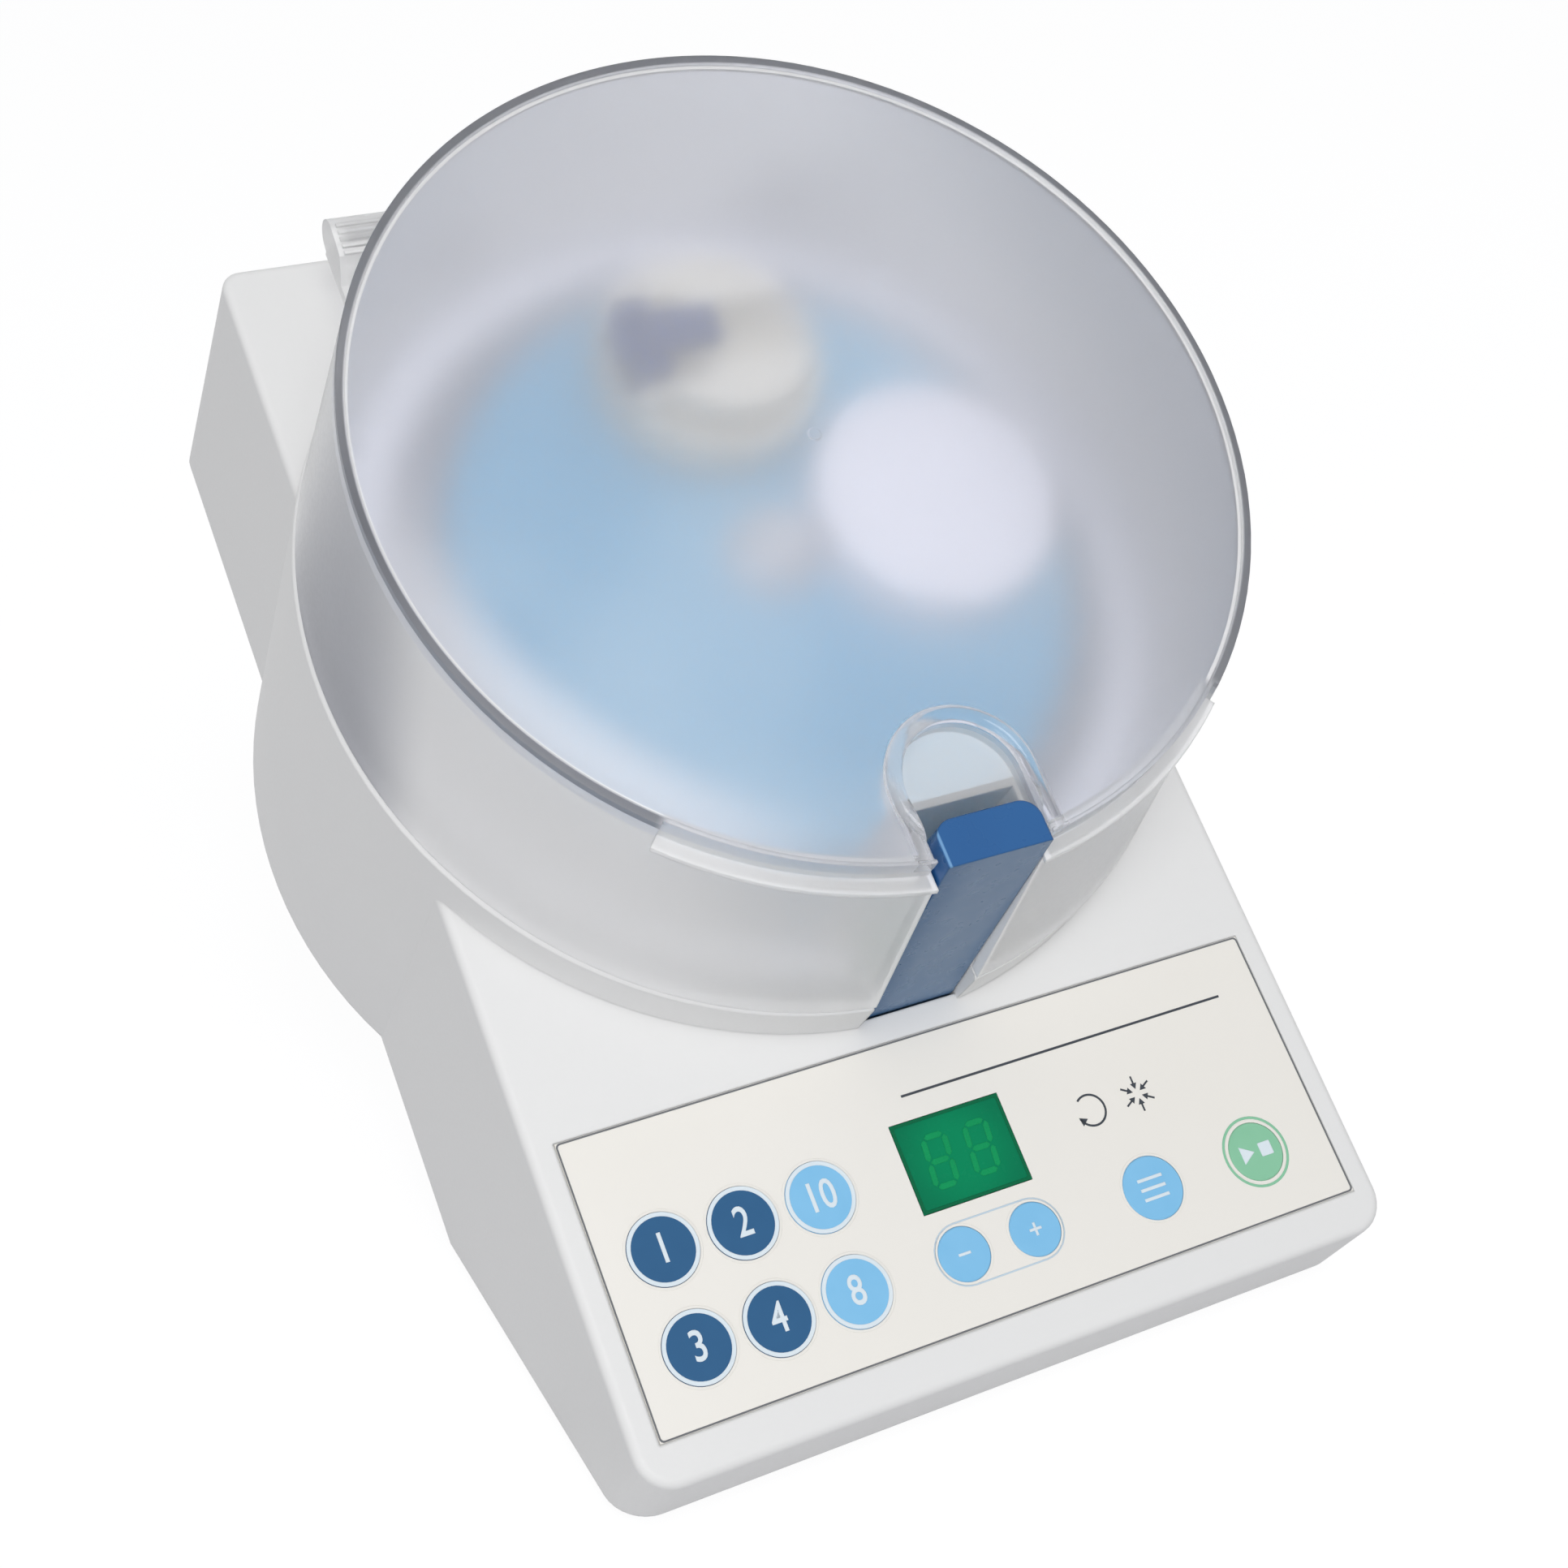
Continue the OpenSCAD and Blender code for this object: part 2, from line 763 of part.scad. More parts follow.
module stand_profile(inset) {
    slope = tan(deck_angle);
    front = stand_front + inset;
    rear = stand_rear - inset;
    drop = inset == 0 ? 0 : -over;
    polygon([
        [front, inset], [rear, inset], [rear, (rear - keel_t) * slope - drop],
        [front, (front - keel_t) * slope - drop]
    ]);
}

module stand() color(WHITE) on_table() difference() {
    union() {
        difference() {
            across(stand_w) stand_profile(0);
            across(stand_w - 2 * stand_t) stand_profile(stand_t);
        }
        stand_screw_pads();
    }
    both_sides() translate([rear_foot_x, rear_foot_t, -over]) cylinder(h = over + foot_recess, r = foot_r);
    translate([inlet_x, stand_rear - stand_t - over, inlet_z])
        inlet_block(stand_t + 2 * over, fit);
    translate([rocker_x, stand_rear - stand_t / 2, rocker_z])
        cube([rocker_w + 2 * rocker_border, stand_t + 2 * over, rocker_h + 2 * rocker_border], center = true);
}

// Pads under the sloping plate, joined to the side walls, that take the stand screws
module stand_screw_pads() {
    pad_w = stand_w / 2 - stand_screw_x + 2 * screw_head_r;
    intersection() {
        across(stand_w) stand_profile(0);
        translate([0, 0, -table_z]) rotate([deck_angle, 0, 0]) both_sides() for (y = stand_screw_ys)
            translate([stand_screw_x, y, -body_d - pad_h]) difference() {
                translate([-2 * screw_head_r, -2 * screw_head_r, 0])
                    cube([pad_w, 4 * screw_head_r, pad_h + over]);
                translate([0, 0, -over]) cylinder(h = pad_h + 3 * over, r = screw_r);
            }
    }
}

// Bowl and seal

module bowl() color("#dcdcdf") on_deck() difference() {
    translate([0, bowl_y, 0]) rotate_extrude() polygon([
        [hub_r, floor_z - bowl_t], [bowl_r + bowl_t, floor_z - bowl_t], [bowl_r + bowl_t, collar_h],
        [flange_r, collar_h], [flange_r, collar_h + flange_t], [bowl_r, collar_h + flange_t],
        [bowl_r, floor_z], [hub_r, floor_z]
    ]);
    translate([-latch_rib_x, bowl_y - flange_r - over, collar_h - over])
        cube([2 * latch_rib_x, flange_r - shelf_r + over, flange_t + 2 * over]);
}

module collar_seal() color("#8e9299") on_deck() difference() {
    translate([0, bowl_y, collar_h]) ring(seal_inner_r + seal_w, seal_inner_r, flange_t);
    translate([-latch_rib_x, bowl_y - collar_r, collar_h - over])
        cube([2 * latch_rib_x, collar_r - shelf_r, flange_t + 2 * over]);
}

// Lid

module cone_solid(inset) {
    skin = inset / cos(cone_draft);
    translate([0, apex_y, apex_z]) rotate([-cone_tilt, 0, 0]) translate([0, 0, -cone_far])
        cylinder(
            h = cone_far - cone_near,
            r1 = cone_far * tan(cone_draft) - skin,
            r2 = cone_near * tan(cone_draft) - skin,
            $fn = 160
        );
}

module slab(low, high) {
    translate([-reach / 2, bowl_y - reach / 2, low]) cube([reach, reach, high - low]);
}

module drum(inset, low, high) {
    intersection() {
        cone_solid(inset);
        slab(low, high);
    }
}

// A lug behind the lid: its crest carries ribs, and a low web joins it to the drum
module hinge_lug() {
    crest = hinge_h + lug_r;
    translate([lug_x + lug_w / 2, 0, 0]) difference() {
        union() {
            translate([0, hinge_y, hinge_h]) bar(lug_r, lug_w);
            across(lug_w) polygon([
                [hinge_y, lid_z], [lug_root_y, lid_z], [lug_root_y, lid_z + lug_web],
                [hinge_y - lug_foot, lid_z + lug_web], [hinge_y - lug_crest, crest - lug_drop], [hinge_y, crest]
            ]);
            for (i = [0:rib_count - 1]) let (back = i * rib_pitch)
                translate([0, hinge_y - back, crest - back * lug_drop / lug_crest])
                    cube([lug_w - lug_cap, rib_w, 2 * rib_h], center = true);
        }
        translate([-(lug_cap + over) / 2, hinge_y, hinge_h]) bar(hinge_pin_r, lug_w - lug_cap + over);
        translate([lug_w / 4, hinge_y - lug_crest - dimple_r, crest - 2 * lug_drop]) sphere(dimple_r);
    }
}

// A slot with a round rear end, open to the front
module well(r, low, high) {
    translate([0, well_y, low]) cylinder(h = high - low, r = r);
    translate([-r, 0, low]) cube([2 * r, well_y, high - low]);
}

module lid() color(FROST) on_deck() difference() {
    union() {
        difference() {
            union() {
                drum(0, lid_z, lid_top);
                both_sides() hinge_lug();
            }
            drum(lid_t, lid_z - over, lid_top - lid_t);
            drum(rim_w, lid_top - rim_h, lid_top + over);
        }
        intersection() {
            drum(lid_t / 2, lid_z, lid_top - rim_h);
            union() {
                well(well_r + well_t, lid_top - well_d - well_t, lid_top);
                channel_block();
            }
        }
        step_skin();
        step_ledge();
        well_bead();
        translate([0, lid_top_y, lid_top - lid_t]) cylinder(h = lid_t - rim_h + gate_h, r = gate_r);
    }
    step_cut();
    well(well_r, lid_top - well_d, lid_top + over);
    translate([-latch_slot_r, 0, lid_z - over])
        cube([2 * latch_slot_r, channel_y, lid_h + 2 * over]);
}

// The front sector of the lid that the step spans
module front_sector(low, high) {
    edge = reach / 2;
    half = edge * tan(step_half_angle);
    translate([0, lid_top_y, low]) linear_extrude(high - low)
        polygon([[0, 0], [-half, -edge], [half, -edge]]);
}

module step_cut() {
    difference() {
        front_sector(lid_top - step_h, lid_top + over);
        translate([0, lid_top_y, lid_top - step_h - over])
            cylinder(h = step_h + 3 * over, r = lid_top_r - step_depth);
    }
}

// Floor and back of the step, so that it leaves the lid closed
module step_skin() {
    low = lid_top - step_h - lid_t;
    intersection() {
        drum(lid_t / 2, low, lid_top - rim_h);
        front_sector(low, lid_top);
        translate([0, lid_top_y, 0]) ring(lid_top_r + lid_setback, lid_top_r - step_depth - lid_t, lid_top);
    }
}

// The ledge that stands proud under the step
module step_ledge() {
    low = lid_top - step_h - ledge_t;
    difference() {
        intersection() {
            drum(-ledge_out, low, lid_top - step_h);
            front_sector(low, lid_top);
        }
        drum(lid_t / 2, low - over, lid_top);
    }
}

// The rounded bead that runs round the finger well
module well_bead() {
    mid_r = well_r + bead_r - bead_trim;
    intersection() {
        translate([0, 0, lid_top + bead_rise - bead_r]) {
            translate([0, well_y, 0]) rotate_extrude() translate([mid_r, 0]) circle(bead_r, $fn = 48);
            both_sides() translate([mid_r, well_y, 0]) rotate([90, 0, 0])
                cylinder(h = well_l, r = bead_r, $fn = 48);
        }
        drum(step_depth + bead_trim, lid_top - 2 * bead_r, lid_top + over);
    }
}

// Walls beside and behind the latch's channel
module channel_block() {
    half = latch_slot_r + well_t;
    translate([-half, 0, channel_z])
        cube([2 * half, channel_y + well_t, lid_top - well_d - over - channel_z]);
}

module hinge_pins() color(STEEL) on_deck() {
    length = ear_w + free + lug_w - lug_cap - over;
    both_sides() translate([lug_x - free - ear_w + length / 2, hinge_y, hinge_h]) bar(hinge_pin_r, length);
}

// Latch

module latch_profile() {
    rear_foot = latch_front_y + latch_foot_t;
    sink = latch_pivot_depth;
    polygon([
        [latch_front_y, 0], [latch_head_y, latch_top], [latch_head_y + latch_head_t, latch_top],
        [latch_head_y + latch_head_t, latch_top - latch_head_h], [rear_foot, collar_h + latch_foot_h],
        [rear_foot, -sink], [latch_front_y + latch_toe, -sink]
    ]);
}

module latch() color(BLUE) on_deck() difference() {
    union() {
        intersection() {
            across(latch_w) latch_profile();
            translate([0, 0, -reach / 2]) linear_extrude(reach) latch_plan();
        }
        translate([0, latch_pivot_y, -latch_pivot_depth]) bar(latch_boss_r, latch_boss_w);
    }
    translate([0, latch_pivot_y, -latch_pivot_depth]) bar(latch_pin_r + running, latch_w + over);
    both_sides() translate([(latch_boss_w + latch_w) / 4, latch_pivot_y, -latch_pivot_depth])
        bar(latch_boss_r + free, (latch_w - latch_boss_w) / 2 + thin);
}

// Plan of the latch, with the rear corners of its head rounded
module latch_plan() {
    r = latch_corner_r;
    rear = latch_head_y + latch_head_t;
    half = latch_w / 2;
    translate([-half, 0]) square([latch_w, rear - r]);
    translate([r - half, rear - r - thin]) square([latch_w - 2 * r, r + thin]);
    for (side = [-1, 1]) translate([side * (half - r), rear - r]) circle(r, $fn = 48);
}

module latch_pin() color(STEEL) on_deck() {
    translate([0, latch_pivot_y, -latch_pivot_depth]) bar(latch_pin_r, 2 * (latch_rib_x + latch_rib_t));
}

// Two closely wound torsion springs, drawn as sleeves beside the latch's boss
module latch_spring() color(STEEL) on_deck() {
    length = latch_rib_x - latch_boss_w / 2 - spring_gap;
    middle_x = latch_boss_w / 2 + free + length / 2;
    both_sides() translate([middle_x, latch_pivot_y, -latch_pivot_depth]) difference() {
        bar(latch_pin_r + spring_t, length);
        bar(latch_pin_r + fit, length + over);
    }
}

module lid_switch() color(DARK) on_deck() {
    size = lid_switch_size;
    translate([0, bowl_y, collar_h - wall - size[2]]) rotate(lid_switch_turn)
        translate([-size[0] / 2, -shelf_r - lid_switch_gap - size[1], 0]) cube(size);
}

// Rotor

module rotor_disc() color(PALE_BLUE) on_deck() difference() {
    bore = hub_r - hub_step;
    translate([0, bowl_y, 0]) rotate_extrude() {
        polygon([
            [bore, rotor_bottom], [rotor_r - rotor_bevel, rotor_bottom],
            [rotor_r, rotor_bottom + rotor_bevel],
            [rotor_r, rotor_top - rotor_round], [rotor_r - rotor_round, rotor_top - rotor_round],
            [rotor_r - rotor_round, rotor_top], [bore, rotor_top]
        ]);
        translate([rotor_r - rotor_round, rotor_top - rotor_round]) intersection() {
            circle(rotor_round, $fn = 48);
            square(rotor_round);
        }
    }
    translate([0, cradle_y, rotor_bottom - over]) cylinder(h = rotor_t + 2 * over, r = bearing_r);
}

module rotor_hub() color(STEEL) on_deck() translate([0, bowl_y, 0]) difference() {
    union() {
        translate([0, 0, rotor_bottom - hub_flange_t]) cylinder(h = hub_flange_t, r = hub_r + hub_flange_w);
        translate([0, 0, rotor_bottom - thin]) cylinder(h = rotor_t + thin, r = hub_r - hub_step);
    }
    translate([0, 0, rotor_bottom - hub_flange_t - over])
        cylinder(h = rotor_t + hub_flange_t + 2 * over, r = shaft_r);
}

module hub_nut() color(STEEL) on_deck() translate([0, bowl_y, rotor_top]) difference() {
    union() {
        cylinder(h = nut_h - nut_bevel, r = nut_r);
        translate([0, 0, nut_h - nut_bevel - thin])
            cylinder(h = nut_bevel + thin, r1 = nut_r, r2 = nut_r - nut_bevel);
    }
    translate([0, 0, -over]) cylinder(h = nut_h, r = shaft_r);
}

module counterweight() color("#f2f2f4") on_deck() {
    crown = weight_crown;
    translate([weight_offset * cos(weight_angle), bowl_y + weight_offset * sin(weight_angle), rotor_top])
        rotate_extrude() {
            square([weight_r, weight_h - crown]);
            square([weight_r - crown, weight_h]);
            translate([weight_r - crown, weight_h - crown]) circle(crown, $fn = 48);
        }
}

module cradle() color("#e4ddc9") on_deck() difference() {
    translate([0, cradle_y, cradle_z]) difference() {
        union() {
            cylinder(h = cradle_base_h, r = cradle_r);
            ring(cradle_r, cradle_r - cradle_rim_t, cradle_base_h + cradle_rim_h);
            cylinder(h = cradle_h, r = cup_r);
            for (side = [-1, 1]) translate([0, side * (clip_w / 2 + free + cheek_t / 2), 0]) clip_cheek();
        }
        translate([0, 0, -over]) cylinder(h = over + spindle_in, r = spindle_r);
    }
    trough_l = 2 * (cradle_r - cradle_rim_t);
    translate([0, cradle_y, trough_z]) bar(trough_r, trough_l);
    translate([-trough_l / 2, cradle_y - trough_r, trough_z]) cube([trough_l, 2 * trough_r, cradle_h]);
    translate([-cradle_r - over, cradle_y - clip_w / 2 - free, clip_z - clip_t - clip_below])
        cube([cup_in + over + clip_slot, clip_w + 2 * free, cradle_h]);
    translate([clip_x, cradle_y, clip_z]) rotate([90, 0, 0])
        cylinder(h = clip_pin_l + over, r = clip_pin_r, center = true);
}

// One of the two cheeks that hold the clip's pin
module clip_cheek() {
    rise = clip_z - cradle_z;
    translate([clip_x, 0, rise]) rotate([90, 0, 0]) cylinder(h = cheek_t, r = clip_t, center = true);
    translate([clip_x - clip_t, -cheek_t / 2, 0]) cube([2 * clip_t, cheek_t, rise]);
}

module clip() color("#24508c") on_deck() translate([clip_x, cradle_y, clip_z]) difference() {
    union() {
        rotate([90, 0, 0]) cylinder(h = clip_w, r = clip_t, center = true);
        translate([-clip_t, -clip_w / 2, 0]) cube([2 * clip_t, clip_w, clip_bar_z + clip_t / 2]);
        translate([0, -clip_w / 4, clip_bar_z]) cube([clip_reach, clip_w / 2, clip_t]);
        translate([-clip_t - clip_tail, -clip_w / 4, clip_bar_z])
            cube([clip_tail + thin, clip_w / 2, clip_t / 2]);
    }
    rotate([90, 0, 0]) cylinder(h = clip_w + over, r = clip_pin_r + running, center = true);
}

module clip_pin() color(STEEL) on_deck() translate([clip_x, cradle_y, clip_z]) rotate([90, 0, 0])
    cylinder(h = clip_pin_l, r = clip_pin_r, center = true);

module cradle_spindle() color(STEEL) on_deck() {
    translate([0, cradle_y, pulley_z]) cylinder(h = cradle_z + spindle_in - pulley_z, r = spindle_r);
}

module spindle_bearing() color(STEEL) on_deck() {
    translate([0, cradle_y, rotor_top - bearing_h - bearing_sink])
        ring(bearing_r, spindle_r + running, bearing_h);
}

// A grooved pulley for the flat belt, bored through
module pulley(r, bore) {
    rotate_extrude() polygon([
        [bore, 0], [r + pulley_lip, 0], [r + pulley_lip, pulley_lip], [r, pulley_lip],
        [r, pulley_h - pulley_lip], [r + pulley_lip, pulley_h - pulley_lip], [r + pulley_lip, pulley_h],
        [bore, pulley_h]
    ]);
}

module cradle_pulley() color("#3a3d42") on_deck() {
    translate([0, cradle_y, pulley_z]) pulley(cradle_pulley_r, spindle_r);
}

module fixed_pulley() color("#3a3d42") on_deck() translate([0, bowl_y, 0]) {
    translate([0, 0, pulley_z]) pulley(fixed_pulley_r, pulley_bore);
    translate([0, 0, floor_z]) ring(fixed_pulley_r - pulley_neck, pulley_bore, pulley_z - floor_z + thin);
    translate([0, 0, floor_z - bowl_t - free]) ring(hub_r, pulley_bore, bowl_t + free + thin);
}

module belt_outline(grow) {
    hull() {
        circle(fixed_pulley_r + grow, $fn = 64);
        translate([0, cradle_offset]) circle(cradle_pulley_r + grow, $fn = 64);
    }
}

module drive_belt() color("#1d1e20") on_deck() {
    translate([0, bowl_y, pulley_z + (pulley_h - belt_h) / 2]) linear_extrude(belt_h) difference() {
        belt_outline(belt_slack + belt_t);
        belt_outline(belt_slack);
    }
}

// Motor

module motor_can() color("#c9cbce") on_deck() translate([0, bowl_y, motor_low]) difference() {
    union() {
        cylinder(h = motor_h, r = motor_r);
        translate([0, 0, motor_h - thin]) cylinder(h = motor_plate_t + thin, r = neck_r);
    }
    translate([0, 0, can_t]) cylinder(h = motor_h - 2 * can_t, r = motor_r - can_t);
    translate([0, 0, -over]) cylinder(h = motor_h + motor_plate_t + 2 * over, r = shaft_r + 1);
    translate([0, 0, can_t - motor_bearing_sink]) cylinder(h = motor_bearing_h, r = motor_bearing_r);
    translate([0, 0, motor_h + motor_plate_t - motor_bearing_h])
        cylinder(h = motor_bearing_h + over, r = motor_bearing_r);
}

module motor_stator() color("#7d5a34") on_deck() {
    low = can_t + coil_gap;
    translate([0, bowl_y, motor_low + low])
        ring(motor_r - can_t, motor_r - can_t - coil_w, motor_h - 2 * low);
}

module motor_armature() color("#55585c") on_deck() {
    low = can_t + coil_gap + armature_in;
    translate([0, bowl_y, motor_low + low])
        ring(motor_r - can_t - coil_w - air_gap, shaft_r, motor_h - 2 * low);
}

module motor_shaft() color(STEEL) on_deck() {
    low = motor_low + can_t;
    translate([0, bowl_y, low]) cylinder(h = rotor_top + nut_h - shaft_end - low, r = shaft_r);
}

module motor_bearings() color(STEEL) on_deck() translate([0, bowl_y, motor_top]) {
    translate([0, 0, -motor_bearing_h]) ring(motor_bearing_r, shaft_r + running, motor_bearing_h);
    translate([0, 0, can_t - motor_plate_t - motor_h - motor_bearing_sink])
        ring(motor_bearing_r, shaft_r + running, motor_bearing_h - motor_bearing_sink);
}

module motor_plate() color(STEEL) on_deck() translate([0, bowl_y, motor_top - motor_plate_t]) difference() {
    side = 2 * (mount_pitch + motor_plate_margin);
    translate([-side / 2, -side / 2, 0]) cube([side, side, motor_plate_t]);
    translate([0, 0, -over]) cylinder(h = motor_plate_t + 2 * over, r = neck_r);
    at_corners(mount_pitch, mount_pitch) translate([0, 0, -over])
        cylinder(h = motor_plate_t + 2 * over, r = screw_r + fit);
}

module motor_mounts() color(DARK) on_deck() {
    translate([0, bowl_y, motor_top - motor_plate_t - mount_h]) at_corners(mount_pitch, mount_pitch)
        ring(mount_r, screw_r + fit, mount_h);
}

module motor_screws() color(STEEL) on_deck() {
    translate([0, bowl_y, motor_top]) at_corners(mount_pitch, mount_pitch) mirror([0, 0, 1])
        screw(motor_plate_t + mount_h + motor_screw_grip);
}

// Keypad

module keypad_foil() color("#ebe8e2") on_deck() translate([0, foil_y, -recess]) difference() {
    translate([-foil_w / 2, -foil_h / 2, 0]) cube([foil_w, foil_h, foil_t]);
    for (k = KEYS) translate([k[0], k[1], -over]) cylinder(h = foil_t + 2 * over, r = k[2] + fit);
    window_hole(foil_t);
}

module key(i, tint) color(tint) on_deck() {
    k = KEYS[i];
    bottom = key_proud - key_t;
    translate([k[0], foil_y + k[1], bottom]) {
        cylinder(h = key_t - key_bevel, r = k[2]);
        translate([0, 0, key_t - key_bevel - thin])
            cylinder(h = key_bevel + thin, r1 = k[2], r2 = k[2] - key_bevel);
        translate([0, 0, -key_stem_l]) cylinder(h = key_stem_l + thin, r = key_stem_r);
    }
}

module key_program_1() key(0, KEY_BLUE);
module key_program_2() key(1, KEY_BLUE);
module key_program_3() key(2, KEY_BLUE);
module key_program_4() key(3, KEY_BLUE);
module key_time_10() key(4, KEY_SKY);
module key_time_8() key(5, KEY_SKY);
module key_minus() key(6, KEY_SKY);
module key_plus() key(7, KEY_SKY);
module key_mode() key(8, KEY_SKY);
module key_start() key(9, "#8cc8a5");

module display_window() color("#00834f") on_deck() {
    translate([window_x - window_w / 2, foil_y + window_y - window_h / 2, -wall])
        cube([window_w, window_h, wall + foil_t - recess]);
}

module display_module() color(DARK) on_deck() {
    w = window_w - 2 * module_in;
    h = window_h - 2 * module_in;
    translate([window_x - w / 2, foil_y + window_y - h / 2, board_top]) cube([w, h, -wall - board_top]);
}

module control_board() color("#2e6b46") on_deck() translate([0, foil_y, board_top - board_t]) difference() {
    translate([-board_w / 2, -board_h / 2, 0]) cube([board_w, board_h, board_t]);
    at_corners(board_post_x, board_post_y) translate([0, 0, -over])
        cylinder(h = board_t + 2 * over, r = small_screw_r + fit);
}

module key_switches() color(DARK) on_deck() {
    for (k = KEYS) translate([k[0] - switch_w / 2, foil_y + k[1] - switch_w / 2, board_top])
        cube([switch_w, switch_w, switch_h]);
}

module board_screws() color(STEEL) on_deck() {
    translate([0, foil_y, board_top - board_t]) at_corners(board_post_x, board_post_y)
        screw(board_t + board_screw_grip, small_screw_r, small_head_r);
}

// Rear and supply

module transformer() color("#8c8f94") on_table() translate([0, core_t, plate_t]) difference() {
    union() {
        translate([-core_w / 2, -core_l / 2, 0]) cube([core_w, core_l, core_h]);
        translate([coil_in - core_w / 2, -core_l / 2 - coil_out, coil_low])
            cube([core_w - 2 * coil_in, core_l + 2 * coil_out, core_h - 2 * coil_low]);
        translate([-core_tab_x - tab_end, -tab_l / 2, 0]) cube([2 * (core_tab_x + tab_end), tab_l, tab_t]);
    }
    both_sides() translate([core_tab_x, 0, -over]) cylinder(h = tab_t + 2 * over, r = screw_r + fit);
}

module transformer_screws() color(STEEL) on_table() {
    both_sides() translate([core_tab_x, core_t, plate_t + tab_t]) mirror([0, 0, 1])
        screw(tab_t + plate_t - free);
}

// The inlet's outline as a block, depth deep along y and grown by the clearance
module inlet_block(depth, grow) {
    w = inlet_w + 2 * inlet_wall + 2 * grow;
    h = inlet_h + fuse_h + 3 * inlet_wall + 2 * grow;
    translate([-w / 2, 0, -inlet_h / 2 - inlet_wall - grow]) cube([w, depth, h]);
}

// One block for each of the inlet's three pins, from the terminals behind it to the pins' ends
module pin_blocks(back, front) {
    for (p = PINS) translate([p[0] - pin_w / 2, back, p[1] - pin_h / 2]) cube([pin_w, front - back, pin_h]);
}

module mains_inlet() color(DARK) on_table() translate([inlet_x, stand_rear, inlet_z]) difference() {
    back = inlet_flange_t - inlet_depth;
    union() {
        translate([0, -inlet_depth - inlet_back, 0]) inlet_block(inlet_depth + inlet_back, 0);
        inlet_block(inlet_flange_t, inlet_flange_w);
    }
    translate([-inlet_w / 2, back, -inlet_h / 2]) cube([inlet_w, inlet_depth + over, inlet_h]);
    translate([fuse_in - inlet_w / 2, back, inlet_h / 2 + inlet_wall])
        cube([inlet_w - 2 * fuse_in, inlet_depth + over, fuse_h]);
    pin_blocks(-inlet_depth - inlet_back - over, back + over);
}

module inlet_pins() color(STEEL) on_table() translate([inlet_x, stand_rear, inlet_z])
    pin_blocks(-inlet_depth - inlet_back - pin_tail, inlet_flange_t - pin_recess);

module fuse_drawer() color("#3b3d41") on_table() translate([inlet_x, stand_rear + inlet_flange_t, inlet_z]) {
    w = inlet_w - 2 * fuse_in - 2 * fit;
    h = fuse_h - 2 * fit;
    base = inlet_h / 2 + inlet_wall + fit;
    translate([-w / 2, -inlet_depth, base]) cube([w, inlet_depth + fuse_proud, h]);
    translate([-fuse_grip[0] / 2, fuse_proud - thin, base + h / 2 - fuse_grip[2] / 2]) cube(fuse_grip);
}

module switch_frame() color(DARK) on_table() translate([rocker_x, stand_rear, rocker_z]) difference() {
    w = rocker_w + 2 * rocker_border - 2 * fit;
    h = rocker_h + 2 * rocker_border - 2 * fit;
    union() {
        translate([-w / 2, -switch_depth, -h / 2]) cube([w, switch_depth + thin, h]);
        translate([-w / 2 - switch_lip, 0, -h / 2 - switch_lip])
            cube([w + 2 * switch_lip, switch_lip_t, h + 2 * switch_lip]);
    }
    translate([-rocker_w / 2 - free / 2, -rocker_well, -rocker_h / 2 - free])
        cube([rocker_w + free, rocker_well + 2 * over, rocker_h + 2 * free]);
    translate([0, -rocker_pivot_in, 0]) bar(rocker_pin_r + running, rocker_w + 2 * rocker_pin_in + free);
}

// The rocker's face is a shallow V, drawn with its upper half pressed in
module rocker() color("#1b1c1e") on_table() {
    half = rocker_h / 2 - 2 * free;
    translate([rocker_x, stand_rear - rocker_pivot_in, rocker_z]) rotate([rocker_tilt, 0, 0]) {
        across(rocker_w - free) polygon([
            [-rocker_low, over - half], [rocker_high, -half], [rocker_mid, 0], [rocker_high, half],
            [-rocker_low, half - over]
        ]);
        bar(rocker_pin_r, rocker_w + 2 * rocker_pin_in);
    }
}

module feet() color(DARK) on_table() {
    top = foot_proud + foot_recess;
    for (place = [[front_foot_x, front_foot_t], [rear_foot_x, rear_foot_t]])
        both_sides() translate([place[0], place[1], -foot_proud]) rotate_extrude() polygon([
            [0, 0], [foot_r - foot_bevel, 0], [foot_r, foot_bevel], [foot_r, top], [0, top]
        ]);
}

module case_screws() color(STEEL) on_deck() {
    both_sides() for (y = post_ys) translate([post_x, y, screw_head_h - body_d]) screw(case_screw_l);
}

module stand_screws() color(STEEL) on_deck() {
    both_sides() for (y = stand_screw_ys) translate([stand_screw_x, y, plate_top]) mirror([0, 0, 1])
        screw(plate_t + stand_screw_grip);
}

housing();
base_plate();
stand();
bowl();
collar_seal();
lid();
hinge_pins();
latch();
latch_pin();
latch_spring();
lid_switch();
rotor_disc();
rotor_hub();
hub_nut();
counterweight();
cradle();
clip();
clip_pin();
cradle_spindle();
spindle_bearing();
cradle_pulley();
fixed_pulley();
drive_belt();
motor_can();
motor_stator();
motor_armature();
motor_shaft();
motor_bearings();
motor_plate();
motor_mounts();
motor_screws();
keypad_foil();
key_program_1();
key_program_2();
key_program_3();
key_program_4();
key_time_10();
key_time_8();
key_minus();
key_plus();
key_mode();
key_start();
display_window();
display_module();
control_board();
key_switches();
board_screws();
transformer();
transformer_screws();
mains_inlet();
inlet_pins();
fuse_drawer();
switch_frame();
rocker();
feet();
case_screws();
stand_screws();
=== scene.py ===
import json
import math

import bmesh
import bpy
from mathutils import Matrix, Vector


